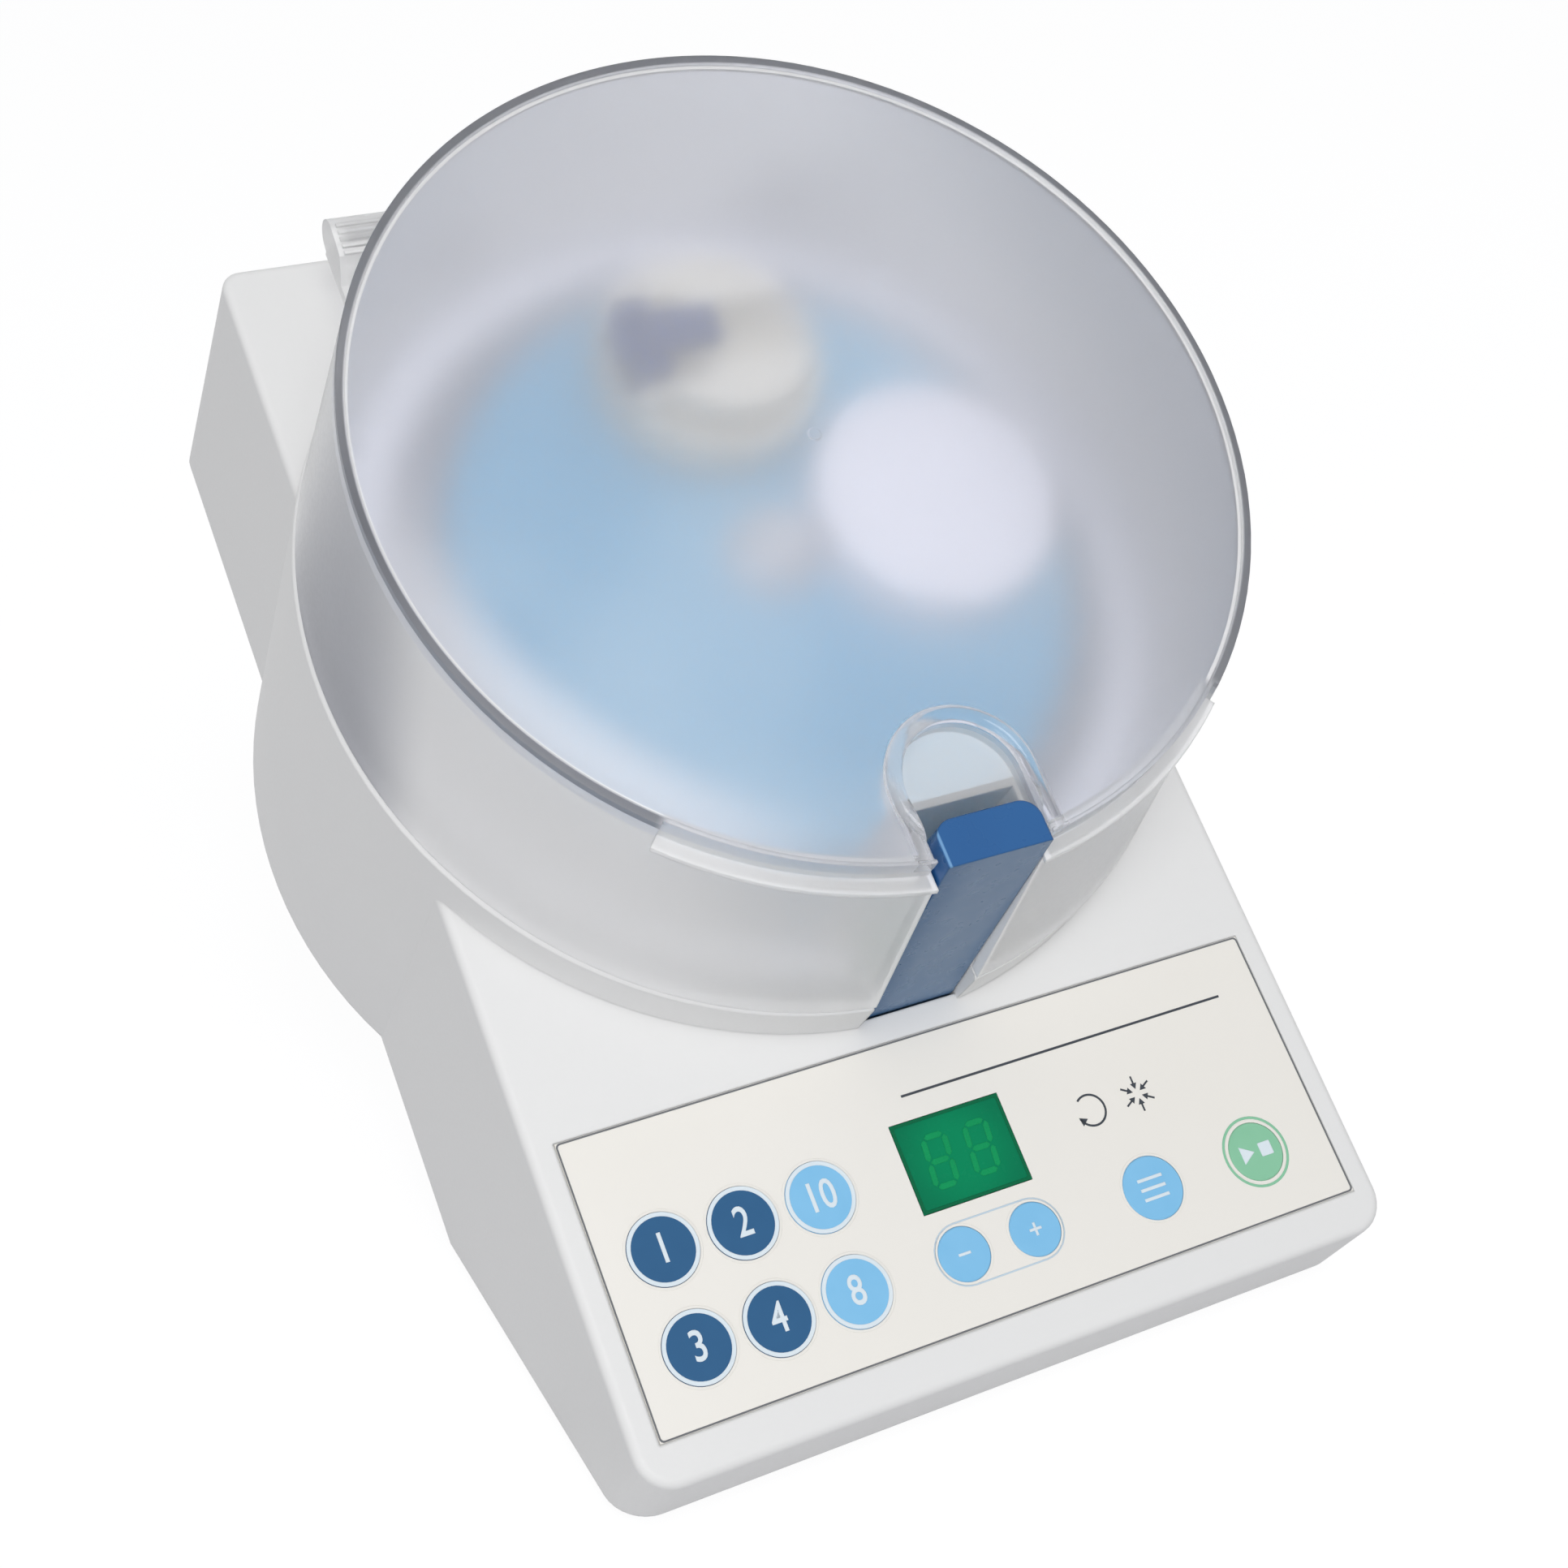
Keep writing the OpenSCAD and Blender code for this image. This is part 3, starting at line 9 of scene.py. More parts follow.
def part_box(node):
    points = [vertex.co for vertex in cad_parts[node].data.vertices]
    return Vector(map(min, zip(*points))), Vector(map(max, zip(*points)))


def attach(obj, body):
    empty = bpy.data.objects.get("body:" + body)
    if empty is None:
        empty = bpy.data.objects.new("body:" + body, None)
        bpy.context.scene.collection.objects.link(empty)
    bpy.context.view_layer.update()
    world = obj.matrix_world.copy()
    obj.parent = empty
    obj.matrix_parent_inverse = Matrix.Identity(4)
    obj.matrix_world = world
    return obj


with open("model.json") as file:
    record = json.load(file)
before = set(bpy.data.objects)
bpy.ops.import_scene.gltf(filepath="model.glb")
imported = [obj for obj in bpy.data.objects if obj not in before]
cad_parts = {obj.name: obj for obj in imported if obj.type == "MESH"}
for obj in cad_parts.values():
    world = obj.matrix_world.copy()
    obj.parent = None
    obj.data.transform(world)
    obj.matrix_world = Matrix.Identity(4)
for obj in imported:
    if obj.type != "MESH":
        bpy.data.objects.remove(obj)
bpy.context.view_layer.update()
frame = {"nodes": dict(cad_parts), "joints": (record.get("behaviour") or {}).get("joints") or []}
nodes = frame["nodes"]
MM = 0.001

# The deck's own frame: x across, y up the slope and n square to the deck, in millimetres from the
# foil's middle, with n = 0 on the deck. Its slope comes from the rotor's axis.
rotor = next(joint for joint in frame["joints"] if joint["name"] == "rotor_spin")
AXIS_X = Vector((1, 0, 0))
AXIS_N = Vector(rotor["axis"]).normalized()
AXIS_Y = AXIS_N.cross(AXIS_X)
BOWL = Vector(rotor["pos_m"])
FOIL_LOW, FOIL_HIGH = (Vector(corner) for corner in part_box("keypad_foil"))
FOIL_MIDDLE = (FOIL_LOW + FOIL_HIGH) / 2
FOIL_MIDDLE -= AXIS_N * (FOIL_MIDDLE - BOWL).dot(AXIS_N)
BOWL_Y = (BOWL - FOIL_MIDDLE).dot(AXIS_Y) / MM
DECK = Matrix((AXIS_X, AXIS_Y, AXIS_N)).transposed().to_4x4()
DECK.translation = FOIL_MIDDLE

# Heights above the deck of the foil's top and the keys' tops, and the thickness of a print
FOIL_TOP = 0.15
KEY_TOP = 0.35
INK = 0.05

# The lid's top: its underside, its middle, its raised rim's foot and two radii, and half the angle in
# degrees that the step in its front takes
PLATE_LOW = 52.0
LID_TOP_Y = BOWL_Y + 4.5
RIM_LOW = 53.9
RIM_INNER = 80.4
RIM_OUTER = 84.0
STEP_HALF_ANGLE = 40.0

# The finger well's middle and the two radii of the bead round it
WELL_Y = BOWL_Y - 63.2
BEAD_INNER = 10.6
BEAD_OUTER = 14.1

# The latch's front, top and half width
LATCH_FRONT_Y = BOWL_Y - 83.5
LATCH_TOP = 55.6
LATCH_HALF_W = 9.8

# The slot in the lid that the latch swings in
SLOT_HALF_W = 11.2
SLOT_BACK_Y = BOWL_Y - 67.5


# Nodes and colours

# Settings of a product, of a mix of two colours, and of a stretch of values that is turned into another
TIMES = {"operation": "MULTIPLY"}
COLOURS = {"output": 2, "data_type": "RGBA"}
SMOOTH = {"interpolation_type": "SMOOTHSTEP"}
# The stretch that most values of a noise texture lie in
NOISE = (0.3, 0.7)


def linear(colour):
    """An sRGB hex colour as the linear values that the shaders take."""
    channels = [int(colour[i:i + 2], 16) / 255 for i in (1, 3, 5)]
    return [c / 12.92 if c <= 0.04045 else ((c + 0.055) / 1.055) ** 2.4 for c in channels] + [1.0]


def add(tree, kind, inputs=(), output=0, **settings):
    """Adds a node with its settings and links, and returns one of its outputs. The inputs go by name or
    in the node's own order, and each is a value, a hex colour or another node's output."""
    node = tree.nodes.new("ShaderNode" + kind)
    for name, value in settings.items():
        setattr(node, name, value)
    for name, value in inputs.items() if isinstance(inputs, dict) else enumerate(inputs):
        if isinstance(value, bpy.types.NodeSocket):
            tree.links.new(value, node.inputs[name])
        else:
            node.inputs[name].default_value = linear(value) if isinstance(value, str) else value
    return node.outputs[output] if node.outputs else None


def start(name):
    """A new material with an empty tree, and its place coordinates in metres."""
    material = bpy.data.materials.new(name)
    material.use_nodes = True
    tree = material.node_tree
    tree.nodes.clear()
    return material, tree, add(tree, "TexCoord", output="Object")


def per_mm(size):
    """The scale of a pattern whose features are this many millimetres apart."""
    return 1 / (size * MM)


def along(tree, place, direction, origin=Vector()):
    """How far a place lies along a direction from an origin, in metres."""
    offset = add(tree, "VectorMath", (place, origin), operation="SUBTRACT")
    return add(tree, "VectorMath", (offset, direction), "Value", operation="DOT_PRODUCT")


def diagonal(tree, first, second):
    """The length of the diagonal whose two sides are these distances."""
    squares = [add(tree, "Math", (side, side), **TIMES) for side in (first, second)]
    return add(tree, "Math", (add(tree, "Math", squares, operation="ADD"),), operation="SQRT")


def band(tree, distance, low, high, soft=0.15):
    """1 where a distance lies between low and high millimetres and 0 elsewhere, with soft edges."""
    rise = add(tree, "MapRange", (distance, (low - soft) * MM, (low + soft) * MM), **SMOOTH)
    fall = add(tree, "MapRange", (distance, (high - soft) * MM, (high + soft) * MM, 1.0, 0.0), **SMOOTH)
    return add(tree, "Math", (rise, fall), **TIMES)


def softened_edges(tree, radius, height=None, distance=0.0, strength=1.0):
    """Normals with rounded edges of a radius in millimetres, and a bump on top where height is given."""
    rounded = add(tree, "Bevel", {"Radius": radius * MM}, samples=4)
    if height is None:
        return rounded
    return add(tree, "Bump", {"Height": height, "Distance": distance * MM, "Strength": strength,
                              "Normal": rounded})


# Materials

def textured_abs():
    """Injection-moulded ABS with a fine spark-eroded grain: a dull, even, slightly pebbled white."""
    material, tree, place = start("textured_abs")
    grain = add(tree, "TexNoise", {"Vector": place, "Scale": per_mm(0.7), "Detail": 3.0})
    tone = add(tree, "TexNoise", {"Vector": place, "Scale": per_mm(60)})
    shader = add(tree, "BsdfPrincipled", {
        "Base Color": add(tree, "Mix", {0: tone, 6: "#e3e3e3", 7: "#e7e7e6"}, **COLOURS),
        "Roughness": add(tree, "MapRange", (grain, *NOISE, 0.42, 0.54), **SMOOTH),
        "IOR": 1.53,
        "Normal": softened_edges(tree, 0.7, grain, 0.03, 0.5),
    })
    add(tree, "OutputMaterial", {"Surface": shader})
    return material


# How clear the lid's wall and top are, and how much of that three places with painted light on it lose
WALL_CLEAR = 0.6
TOP_CLEAR = 0.86
PAINTED_LIGHT_LOSS = 0.3
SLOT_LOSS = 0.55
GLINT_LOSS = 0.5


def frosted_polycarbonate():
    """Clear polycarbonate with a blasted inside: a milky sheet that blurs what lies behind it, with painted
    shade on its raised rim, a painted highlight line inside the rim, and a polished bead round the finger
    well."""
    material, tree, place = start("frosted_polycarbonate")
    across = along(tree, place, AXIS_X)
    height = along(tree, place, AXIS_N, FOIL_MIDDLE)
    up_slope = along(tree, place, AXIS_Y, FOIL_MIDDLE)
    top = add(tree, "MapRange", (height, (PLATE_LOW - 0.5) * MM, PLATE_LOW * MM), **SMOOTH)
    wall = add(tree, "MapRange", (top, 0.0, 1.0, 1.0, 0.0), **SMOOTH)

    # The bead, by the distance from the finger well's line, which is straight in front of its middle
    past_well = add(tree, "Math", (up_slope, WELL_Y * MM), operation="SUBTRACT")
    from_well = diagonal(tree, across, add(tree, "Math", (past_well, 0.0), operation="MAXIMUM"))
    above_floor = add(tree, "MapRange", (height, (PLATE_LOW - 0.3) * MM, PLATE_LOW * MM), **SMOOTH)
    bead = add(tree, "Math", (band(tree, from_well, BEAD_INNER, BEAD_OUTER), above_floor), **TIMES)

    # Painted shade on the rim and a painted highlight line inside it, by the distance from the middle of the
    #     lid's top. Both end at the step, which is found by the share of that distance that points to the
    #     front.
    from_middle_y = add(tree, "Math", (up_slope, LID_TOP_Y * MM), operation="SUBTRACT")
    from_middle = diagonal(tree, across, from_middle_y)
    forward = add(tree, "Math", (from_middle_y, -1.0), **TIMES)
    to_front = add(tree, "Math", (forward, from_middle), operation="DIVIDE")
    step_edge = math.cos(math.radians(STEP_HALF_ANGLE))
    beside_step = add(tree, "MapRange", (to_front, step_edge - 0.01, step_edge + 0.01, 1.0, 0.0), **SMOOTH)
    above_plate = add(tree, "MapRange", (height, (RIM_LOW - 0.2) * MM, RIM_LOW * MM), **SMOOTH)
    on_rim = add(tree, "Math", (beside_step, above_plate), **TIMES)
    painted_rim_shade = add(tree, "Math", (band(tree, from_middle, RIM_INNER, RIM_OUTER), on_rim), **TIMES)
    painted_highlight_line = band(tree, from_middle, RIM_INNER - 0.9, RIM_INNER - 0.2, 0.1)
    glint = add(tree, "Math", (painted_highlight_line, on_rim), **TIMES)

    # Painted shade where the sheet turns away from the light: the left of the wall and the right of the top
    far_left = add(tree, "MapRange", (across, -84 * MM, -77 * MM, 1.0, 0.0), **SMOOTH)
    far_right = add(tree, "MapRange", (across, 20 * MM, 80 * MM), **SMOOTH)
    wall_tint_and_shade = add(tree, "Mix", {0: far_left, 6: "#f2f2f2", 7: "#aeb0b7"}, **COLOURS)
    top_tint_and_shade = add(tree, "Mix", {0: far_right, 6: "#eff0f5", 7: "#d2d4da"}, **COLOURS)
    tint = add(tree, "Mix", {0: top, 6: wall_tint_and_shade, 7: top_tint_and_shade}, **COLOURS)
    # Painted shade darkens the rim, and a painted highlight whitens the line inside it
    tint = add(tree, "Mix", {0: painted_rim_shade, 6: tint, 7: "#83858d"}, **COLOURS)
    tint = add(tree, "Mix", {0: glint, 6: tint, 7: "#ffffff"}, **COLOURS)

    # Painted light: less clear, so whiter, towards the rim at the front left, where the sheet catches the
    # light
    to_left = add(tree, "MapRange", (across, -55 * MM, -20 * MM, 1.0, 0.0), **SMOOTH)
    to_rim = add(tree, "MapRange", (from_middle, 66 * MM, 77 * MM), **SMOOTH)
    ahead = add(tree, "MapRange", (to_front, -0.2, 0.5), **SMOOTH)
    painted_light = add(tree, "Math", (add(tree, "Math", (to_left, to_rim), **TIMES), ahead), **TIMES)

    # Painted light: the walls of the latch's slot are made less clear, so that they show lighter
    back_low, back_high = (SLOT_BACK_Y - 0.5) * MM, SLOT_BACK_Y * MM
    before_back = add(tree, "MapRange", (up_slope, back_low, back_high, 1.0, 0.0), **SMOOTH)
    slot = add(tree, "Math", (band(tree, across, -SLOT_HALF_W, SLOT_HALF_W), before_back), **TIMES)
    slot = add(tree, "Math", (slot, wall), **TIMES)

    # How clear the sheet is, less where light is painted: at the front left, on the slot's walls and on the
    # highlight line
    clear = add(tree, "MapRange", (top, 0.0, 1.0, WALL_CLEAR, TOP_CLEAR), **SMOOTH)
    for mask, loss in ((painted_light, PAINTED_LIGHT_LOSS), (slot, SLOT_LOSS), (glint, GLINT_LOSS)):
        lost = add(tree, "Math", (mask, loss), **TIMES)
        clear = add(tree, "Math", (clear, lost), operation="SUBTRACT")

    # Frosted but on the bead, which keeps the roughness of polished plastic
    grain = add(tree, "TexNoise", {"Vector": place, "Scale": per_mm(0.9), "Detail": 3.0})
    frost = add(tree, "MapRange", (grain, *NOISE, 0.2, 0.26), **SMOOTH)
    off_bead = add(tree, "Math", (1.0, bead), operation="SUBTRACT")
    dull = add(tree, "Math", (off_bead, frost), **TIMES)
    shader = add(tree, "BsdfPrincipled", {
        "Base Color": tint,
        "Roughness": add(tree, "Math", (dull, 0.09), operation="ADD"),
        "IOR": 1.45,
        "Transmission Weight": clear,
        "Normal": softened_edges(tree, 0.4, grain, 0.01, 0.2),
    })
    # Lamps light what stands behind the sheet, which takes a little of their light
    to_lamp = add(tree, "LightPath", output="Is Shadow Ray")
    passed = add(tree, "BsdfTransparent", {"Color": "#e4e4e6"})
    add(tree, "OutputMaterial", {"Surface": add(tree, "MixShader", (to_lamp, shader, passed))})
    return material


def satin_blue_abs():
    """Moulded blue ABS with a satin polish: deep blue above with painted highlights along its top's front
    and left edges, and a painted reflection that greys the face towards the user, least at its left, which
    stays deepest."""
    material, tree, place = start("satin_blue_abs")
    across = along(tree, place, AXIS_X)
    up_slope = along(tree, place, AXIS_Y, FOIL_MIDDLE)
    height = along(tree, place, AXIS_N, FOIL_MIDDLE)
    tone = add(tree, "TexNoise", {"Vector": place, "Scale": per_mm(18)})
    blue = add(tree, "Mix", {0: tone, 6: "#205893", 7: "#27629c"}, **COLOURS)

    # Painted reflection: the face towards the user is mixed to a grey blue, less so at its left
    normal = add(tree, "TexCoord", output="Normal")
    facing = add(tree, "VectorMath", (normal, -AXIS_Y), "Value", operation="DOT_PRODUCT")
    on_front = add(tree, "MapRange", (facing, 0.75, 0.97), **SMOOTH)
    off_left = add(tree, "MapRange", (across, -LATCH_HALF_W * MM, -0.2 * LATCH_HALF_W * MM), **SMOOTH)
    painted_reflection = add(tree, "Mix", {0: off_left, 6: "#2f5f8c", 7: "#5d7b9d"}, **COLOURS)
    blue = add(tree, "Mix", {0: on_front, 6: blue, 7: painted_reflection}, **COLOURS)

    # Painted highlights run along the front and the left edges of the top
    front_edge = band(tree, up_slope, LATCH_FRONT_Y + 0.2, LATCH_FRONT_Y + 0.7)
    left_edge = band(tree, across, -LATCH_HALF_W + 0.2, -LATCH_HALF_W + 0.7)
    on_top = add(tree, "MapRange", (height, (LATCH_TOP - 0.3) * MM, (LATCH_TOP - 0.1) * MM), **SMOOTH)
    edges = add(tree, "Math", (front_edge, left_edge), operation="MAXIMUM")
    edges = add(tree, "Math", (edges, on_top), **TIMES)
    painted_edge_highlight = add(tree, "Math", (edges, 0.75), **TIMES)
    polish = add(tree, "TexNoise", {"Vector": place, "Scale": per_mm(4)})
    shader = add(tree, "BsdfPrincipled", {
        "Base Color": add(tree, "Mix", {0: painted_edge_highlight, 6: blue, 7: "#7fb0dc"}, **COLOURS),
        "Roughness": add(tree, "MapRange", (polish, *NOISE, 0.26, 0.32), **SMOOTH),
        "IOR": 1.53,
        "Specular IOR Level": 0.3,
        "Normal": softened_edges(tree, 0.6),
    })
    add(tree, "OutputMaterial", {"Surface": shader})
    return material


def moulded(name, light, dark, roughness, grain_size=0.8, mottle=20, ior=1.5, edge=0.3, depth=0.02,
            shine=0.5):
    """A moulded plastic or rubber: a fine grain, a faint mottle between two near tones, soft edges."""
    material, tree, place = start(name)
    grain = add(tree, "TexNoise", {"Vector": place, "Scale": per_mm(grain_size), "Detail": 3.0})
    tone = add(tree, "TexNoise", {"Vector": place, "Scale": per_mm(mottle)})
    shader = add(tree, "BsdfPrincipled", {
        "Base Color": add(tree, "Mix", {0: tone, 6: dark, 7: light}, **COLOURS),
        "Roughness": add(tree, "MapRange", (grain, *NOISE, roughness - 0.05, roughness + 0.05), **SMOOTH),
        "IOR": ior,
        "Specular IOR Level": shine,
        "Normal": softened_edges(tree, edge, grain, depth, 0.5),
    })
    add(tree, "OutputMaterial", {"Surface": shader})
    return material


def pale_blue_acetal():
    """Turned acetal in pale blue with whiter patches: broad soft clouds and fine turning rings."""
    material, tree, place = start("pale_blue_acetal")
    clouds = add(tree, "TexNoise", {"Vector": place, "Scale": per_mm(55), "Detail": 1.0})
    whiter = add(tree, "MapRange", (clouds, 0.4, 0.62), **SMOOTH)
    from_shaft = add(tree, "VectorMath", (place, BOWL), "Value", operation="DISTANCE")
    turns = add(tree, "Math", (from_shaft, 2 * math.pi * per_mm(1.2)), **TIMES)
    rings = add(tree, "Math", (turns,), operation="SINE")
    shader = add(tree, "BsdfPrincipled", {
        "Base Color": add(tree, "Mix", {0: whiter, 6: "#3d97bd", 7: "#79b0cb"}, **COLOURS),
        "Roughness": 0.42,
        "Normal": softened_edges(tree, 0.4, rings, 0.01, 0.3),
    })
    add(tree, "OutputMaterial", {"Surface": shader})
    return material


def printed_polyester():
    """Polyester foil printed from behind: a warm cream with a fine velvet texture."""
    material, tree, place = start("printed_polyester")
    velvet = add(tree, "TexNoise", {"Vector": place, "Scale": per_mm(0.35)})
    tone = add(tree, "TexNoise", {"Vector": place, "Scale": per_mm(30)})
    shader = add(tree, "BsdfPrincipled", {
        "Base Color": add(tree, "Mix", {0: tone, 6: "#ebe8e1", 7: "#edeae4"}, **COLOURS),
        "Roughness": add(tree, "MapRange", (velvet, *NOISE, 0.36, 0.46), **SMOOTH),
        "IOR": 1.57,
        "Normal": softened_edges(tree, 0.12, velvet, 0.008, 0.4),
    })
    add(tree, "OutputMaterial", {"Surface": shader})
    return material


def screen_ink(name, light, dark, roughness=0.38):
    """Ink screened on the foil: a flat, even colour under the foil's fine texture."""
    return moulded(name, light, dark, roughness, grain_size=0.35, mottle=6, ior=1.57, edge=0.15,
                   depth=0.003, shine=0.1)


def tinted_acrylic():
    """Green acrylic filter over the digits: smooth and glossy, lighter towards its middle."""
    material, tree, place = start("tinted_acrylic")
    window = sum((Vector(corner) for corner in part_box("display_window")), Vector()) / 2
    from_middle = add(tree, "VectorMath", (place, window), "Value", operation="DISTANCE")
    outwards = add(tree, "MapRange", (from_middle, 4 * MM, 13 * MM), **SMOOTH)
    polish = add(tree, "TexNoise", {"Vector": place, "Scale": per_mm(2)})
    shader = add(tree, "BsdfPrincipled", {
        "Base Color": add(tree, "Mix", {0: outwards, 6: "#00885a", 7: "#007650"}, **COLOURS),
        "Roughness": add(tree, "MapRange", (polish, *NOISE, 0.2, 0.28), **SMOOTH),
        "IOR": 1.49,
        "Specular IOR Level": 0.1,
    })
    add(tree, "OutputMaterial", {"Surface": shader})
    return material


def turned_steel():
    """Turned bright steel: two near greys under a fine uneven grain that softens its highlights."""
    material, tree, place = start("turned_steel")
    grain = add(tree, "TexNoise", {"Vector": place, "Scale": per_mm(0.5), "Detail": 4.0})
    tone = add(tree, "TexNoise", {"Vector": place, "Scale": per_mm(8)})
    shader = add(tree, "BsdfPrincipled", {
        "Base Color": add(tree, "Mix", {0: tone, 6: "#c6c8cc", 7: "#dcdddf"}, **COLOURS),
        "Metallic": 1.0,
        "Roughness": add(tree, "MapRange", (grain, *NOISE, 0.28, 0.42), **SMOOTH),
        "Normal": softened_edges(tree, 0.2, grain, 0.01, 0.4),
    })
    add(tree, "OutputMaterial", {"Surface": shader})
    return material


def zinc_plated_steel():
    """Pressed sheet steel with bright zinc: pale grey with a faint crystal spangle."""
    material, tree, place = start("zinc_plated_steel")
    spangle = add(tree, "TexVoronoi", {"Vector": place, "Scale": per_mm(4)}, "Distance")
    shader = add(tree, "BsdfPrincipled", {
        "Base Color": add(tree, "Mix", {0: spangle, 6: "#b9bcc1", 7: "#cdd0d3"}, **COLOURS),
        "Metallic": 1.0,
        "Roughness": add(tree, "MapRange", (spangle, 0.0, 0.6, 0.3, 0.42), **SMOOTH),
    })
    add(tree, "OutputMaterial", {"Surface": shader})
    return material


def lined_metal(name, spacing, groove, dark, light, metallic, roughness):
    """Sheets or wires that lie level on each other: lines a spacing apart, darker in their grooves."""
    material, tree, place = start(name)
    lines = add(tree, "TexWave", {"Vector": place, "Scale": per_mm(spacing) / (2 * math.pi)}, "Fac",
                bands_direction="Z")
    shader = add(tree, "BsdfPrincipled", {
        "Base Color": add(tree, "Mix", {0: lines, 6: dark, 7: light}, **COLOURS),
        "Metallic": metallic,
        "Roughness": roughness,
        "Normal": add(tree, "Bump", {"Height": lines, "Distance": groove * MM}),
    })
    add(tree, "OutputMaterial", {"Surface": shader})
    return material


WHITE = textured_abs()
FROST = frosted_polycarbonate()
LATCH_BLUE = satin_blue_abs()
FOIL = printed_polyester()
STEEL = turned_steel()
PALE_INK = screen_ink("pale_ink", "#e3edf3", "#dbe7ef")
PALE_LINE_INK = screen_ink("pale_line_ink", "#c9dbe8", "#c2d5e3")
DARK_INK = screen_ink("dark_ink", "#4b5057", "#42474e")
OUTLINE_INK = screen_ink("outline_ink", "#77797d", "#6d7074")
DARK_BLUE_INK = screen_ink("dark_blue_ink", "#34648f", "#2f5d87")
SKY_INK = screen_ink("sky_ink", "#8ac7ee", "#80c0e9")
GREEN_INK = screen_ink("green_ink", "#92ccaa", "#87c4a1")
GREEN_FILTER = tinted_acrylic()
DARK_GREEN_INK = screen_ink("dark_green_ink", "#006b44", "#00623f", 0.3)
GHOST_GREEN = screen_ink("ghost_green", "#0c9a5c", "#089156", 0.3)
# Black moulded plastic of the inlet, the switches, the pulleys and the display's body: dull and pebbled
BLACK = moulded("black_polyamide", "#2e3033", "#26282a", 0.45)
# Moulded rubber of the feet, the mounts and the belt: dull and nearly black
RUBBER = moulded("nitrile_rubber", "#2c2d2f", "#242527", 0.7, grain_size=0.6)
# Soft grey sealing ring: dull silicone
SEAL = moulded("grey_silicone", "#9a9ea5", "#8b8f96", 0.6)

FINISHES = {
    WHITE: ["housing", "base_plate", "stand"],
    FROST: ["lid"],
    LATCH_BLUE: ["latch"],
    FOIL: ["keypad_foil"],
    STEEL: ["hinge_pins", "latch_pin", "latch_spring", "clip_pin", "cradle_spindle", "spindle_bearing",
            "motor_shaft", "motor_bearings", "rotor_hub", "hub_nut", "motor_plate", "motor_screws",
            "board_screws", "transformer_screws", "case_screws", "stand_screws"],
    DARK_BLUE_INK: ["key_program_1", "key_program_2", "key_program_3", "key_program_4"],
    SKY_INK: ["key_time_10", "key_time_8", "key_minus", "key_plus", "key_mode"],
    GREEN_INK: ["key_start"],
    GREEN_FILTER: ["display_window"],
    RUBBER: ["feet", "motor_mounts", "drive_belt"],
    SEAL: ["collar_seal"],
    BLACK: ["lid_switch", "display_module", "key_switches", "mains_inlet", "switch_frame", "cradle_pulley",
            "fixed_pulley"],
    # Smooth moulded liner of the bowl: pale grey and a little glossy
    moulded("polished_bowl_liner", "#ededf2", "#e7e7ed", 0.3): ["bowl"],
    pale_blue_acetal(): ["rotor_disc"],
    # Cast resin weight: bright white and glossy
    moulded("white_resin", "#e6e6ec", "#dfdfe6", 0.25): ["counterweight"],
    # Moulded cream acetal: warm and slightly waxy
    moulded("cream_acetal", "#d9d5c8", "#d0ccbd", 0.4): ["cradle"],
    # Moulded blue polyamide of the clip: deep blue and satin
    moulded("dark_blue_polyamide", "#00306c", "#002a60", 0.35): ["clip"],
    # Glass-fibre circuit board under solder resist: deep green and glossy
    moulded("solder_resist", "#2f6f49", "#275f3e", 0.3, grain_size=1.2): ["control_board"],
    # Grey moulded drawer of the fuse: dull and dark
    moulded("grey_polyamide", "#46494d", "#3c3f43", 0.45): ["fuse_drawer"],
    # Polished black polyamide of the rocker: dark with clear highlights
    moulded("polished_black", "#1f2022", "#18191a", 0.22): ["rocker"],
    # Plated brass contacts: pale gold
    moulded("plated_contacts", "#cdb06a", "#bfa15a", 0.3): ["inlet_pins"],
    zinc_plated_steel(): ["motor_can"],
    # A stack of punched steel sheets under thin varnish: dark grey with fine parallel lines
    lined_metal("stacked_laminations", 1.0, 0.05, "#4b4d50", "#85878b", 0.8, 0.5):
        ["motor_armature", "transformer"],
    # Coils of enamelled copper wire: amber lines a wire apart
    lined_metal("enamelled_copper", 0.8, 0.1, "#6d3b17", "#b87333", 0.7, 0.35): ["motor_stator"],
}
for material, names in FINISHES.items():
    for name in names:
        for slot in nodes[name].material_slots:
            slot.material = material


# Flat prints on the keypad, drawn in the deck's frame in millimetres


def print_shape(name, loops, height, material, body="root", thickness=INK):
    """A thin solid with the outline of the first loop, less the other loops, printed at a height."""
    mesh = bpy.data.meshes.new(name)
    work = bmesh.new()
    for loop in loops:
        corners = [work.verts.new((x * MM, y * MM, height * MM)) for x, y in loop]
        for a, b in zip(corners, corners[1:] + corners[:1]):
            work.edges.new((a, b))
    bmesh.ops.triangle_fill(work, use_beauty=True, use_dissolve=False, edges=work.edges[:], normal=(0, 0, 1))
    top = bmesh.ops.extrude_face_region(work, geom=work.faces[:])["geom"]
    top_corners = [part for part in top if isinstance(part, bmesh.types.BMVert)]
    bmesh.ops.translate(work, vec=(0, 0, thickness * MM), verts=top_corners)
    bmesh.ops.recalc_face_normals(work, faces=work.faces[:])
    work.transform(DECK)
    work.to_mesh(mesh)
    work.free()
    mesh.materials.append(material)
    piece = bpy.data.objects.new(name, mesh)
    bpy.context.collection.objects.link(piece)
    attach(piece, body)


def arc(cx, cy, radius, start_angle=0.0, sweep=360.0, steps=48):
    """Points on an arc, in degrees. A whole circle doesn't repeat its first point."""
    whole = abs(sweep) >= 360
    count = steps if whole else steps + 1
    angles = [math.radians(start_angle + sweep * i / steps) for i in range(count)]
    return [(cx + radius * math.cos(a), cy + radius * math.sin(a)) for a in angles]


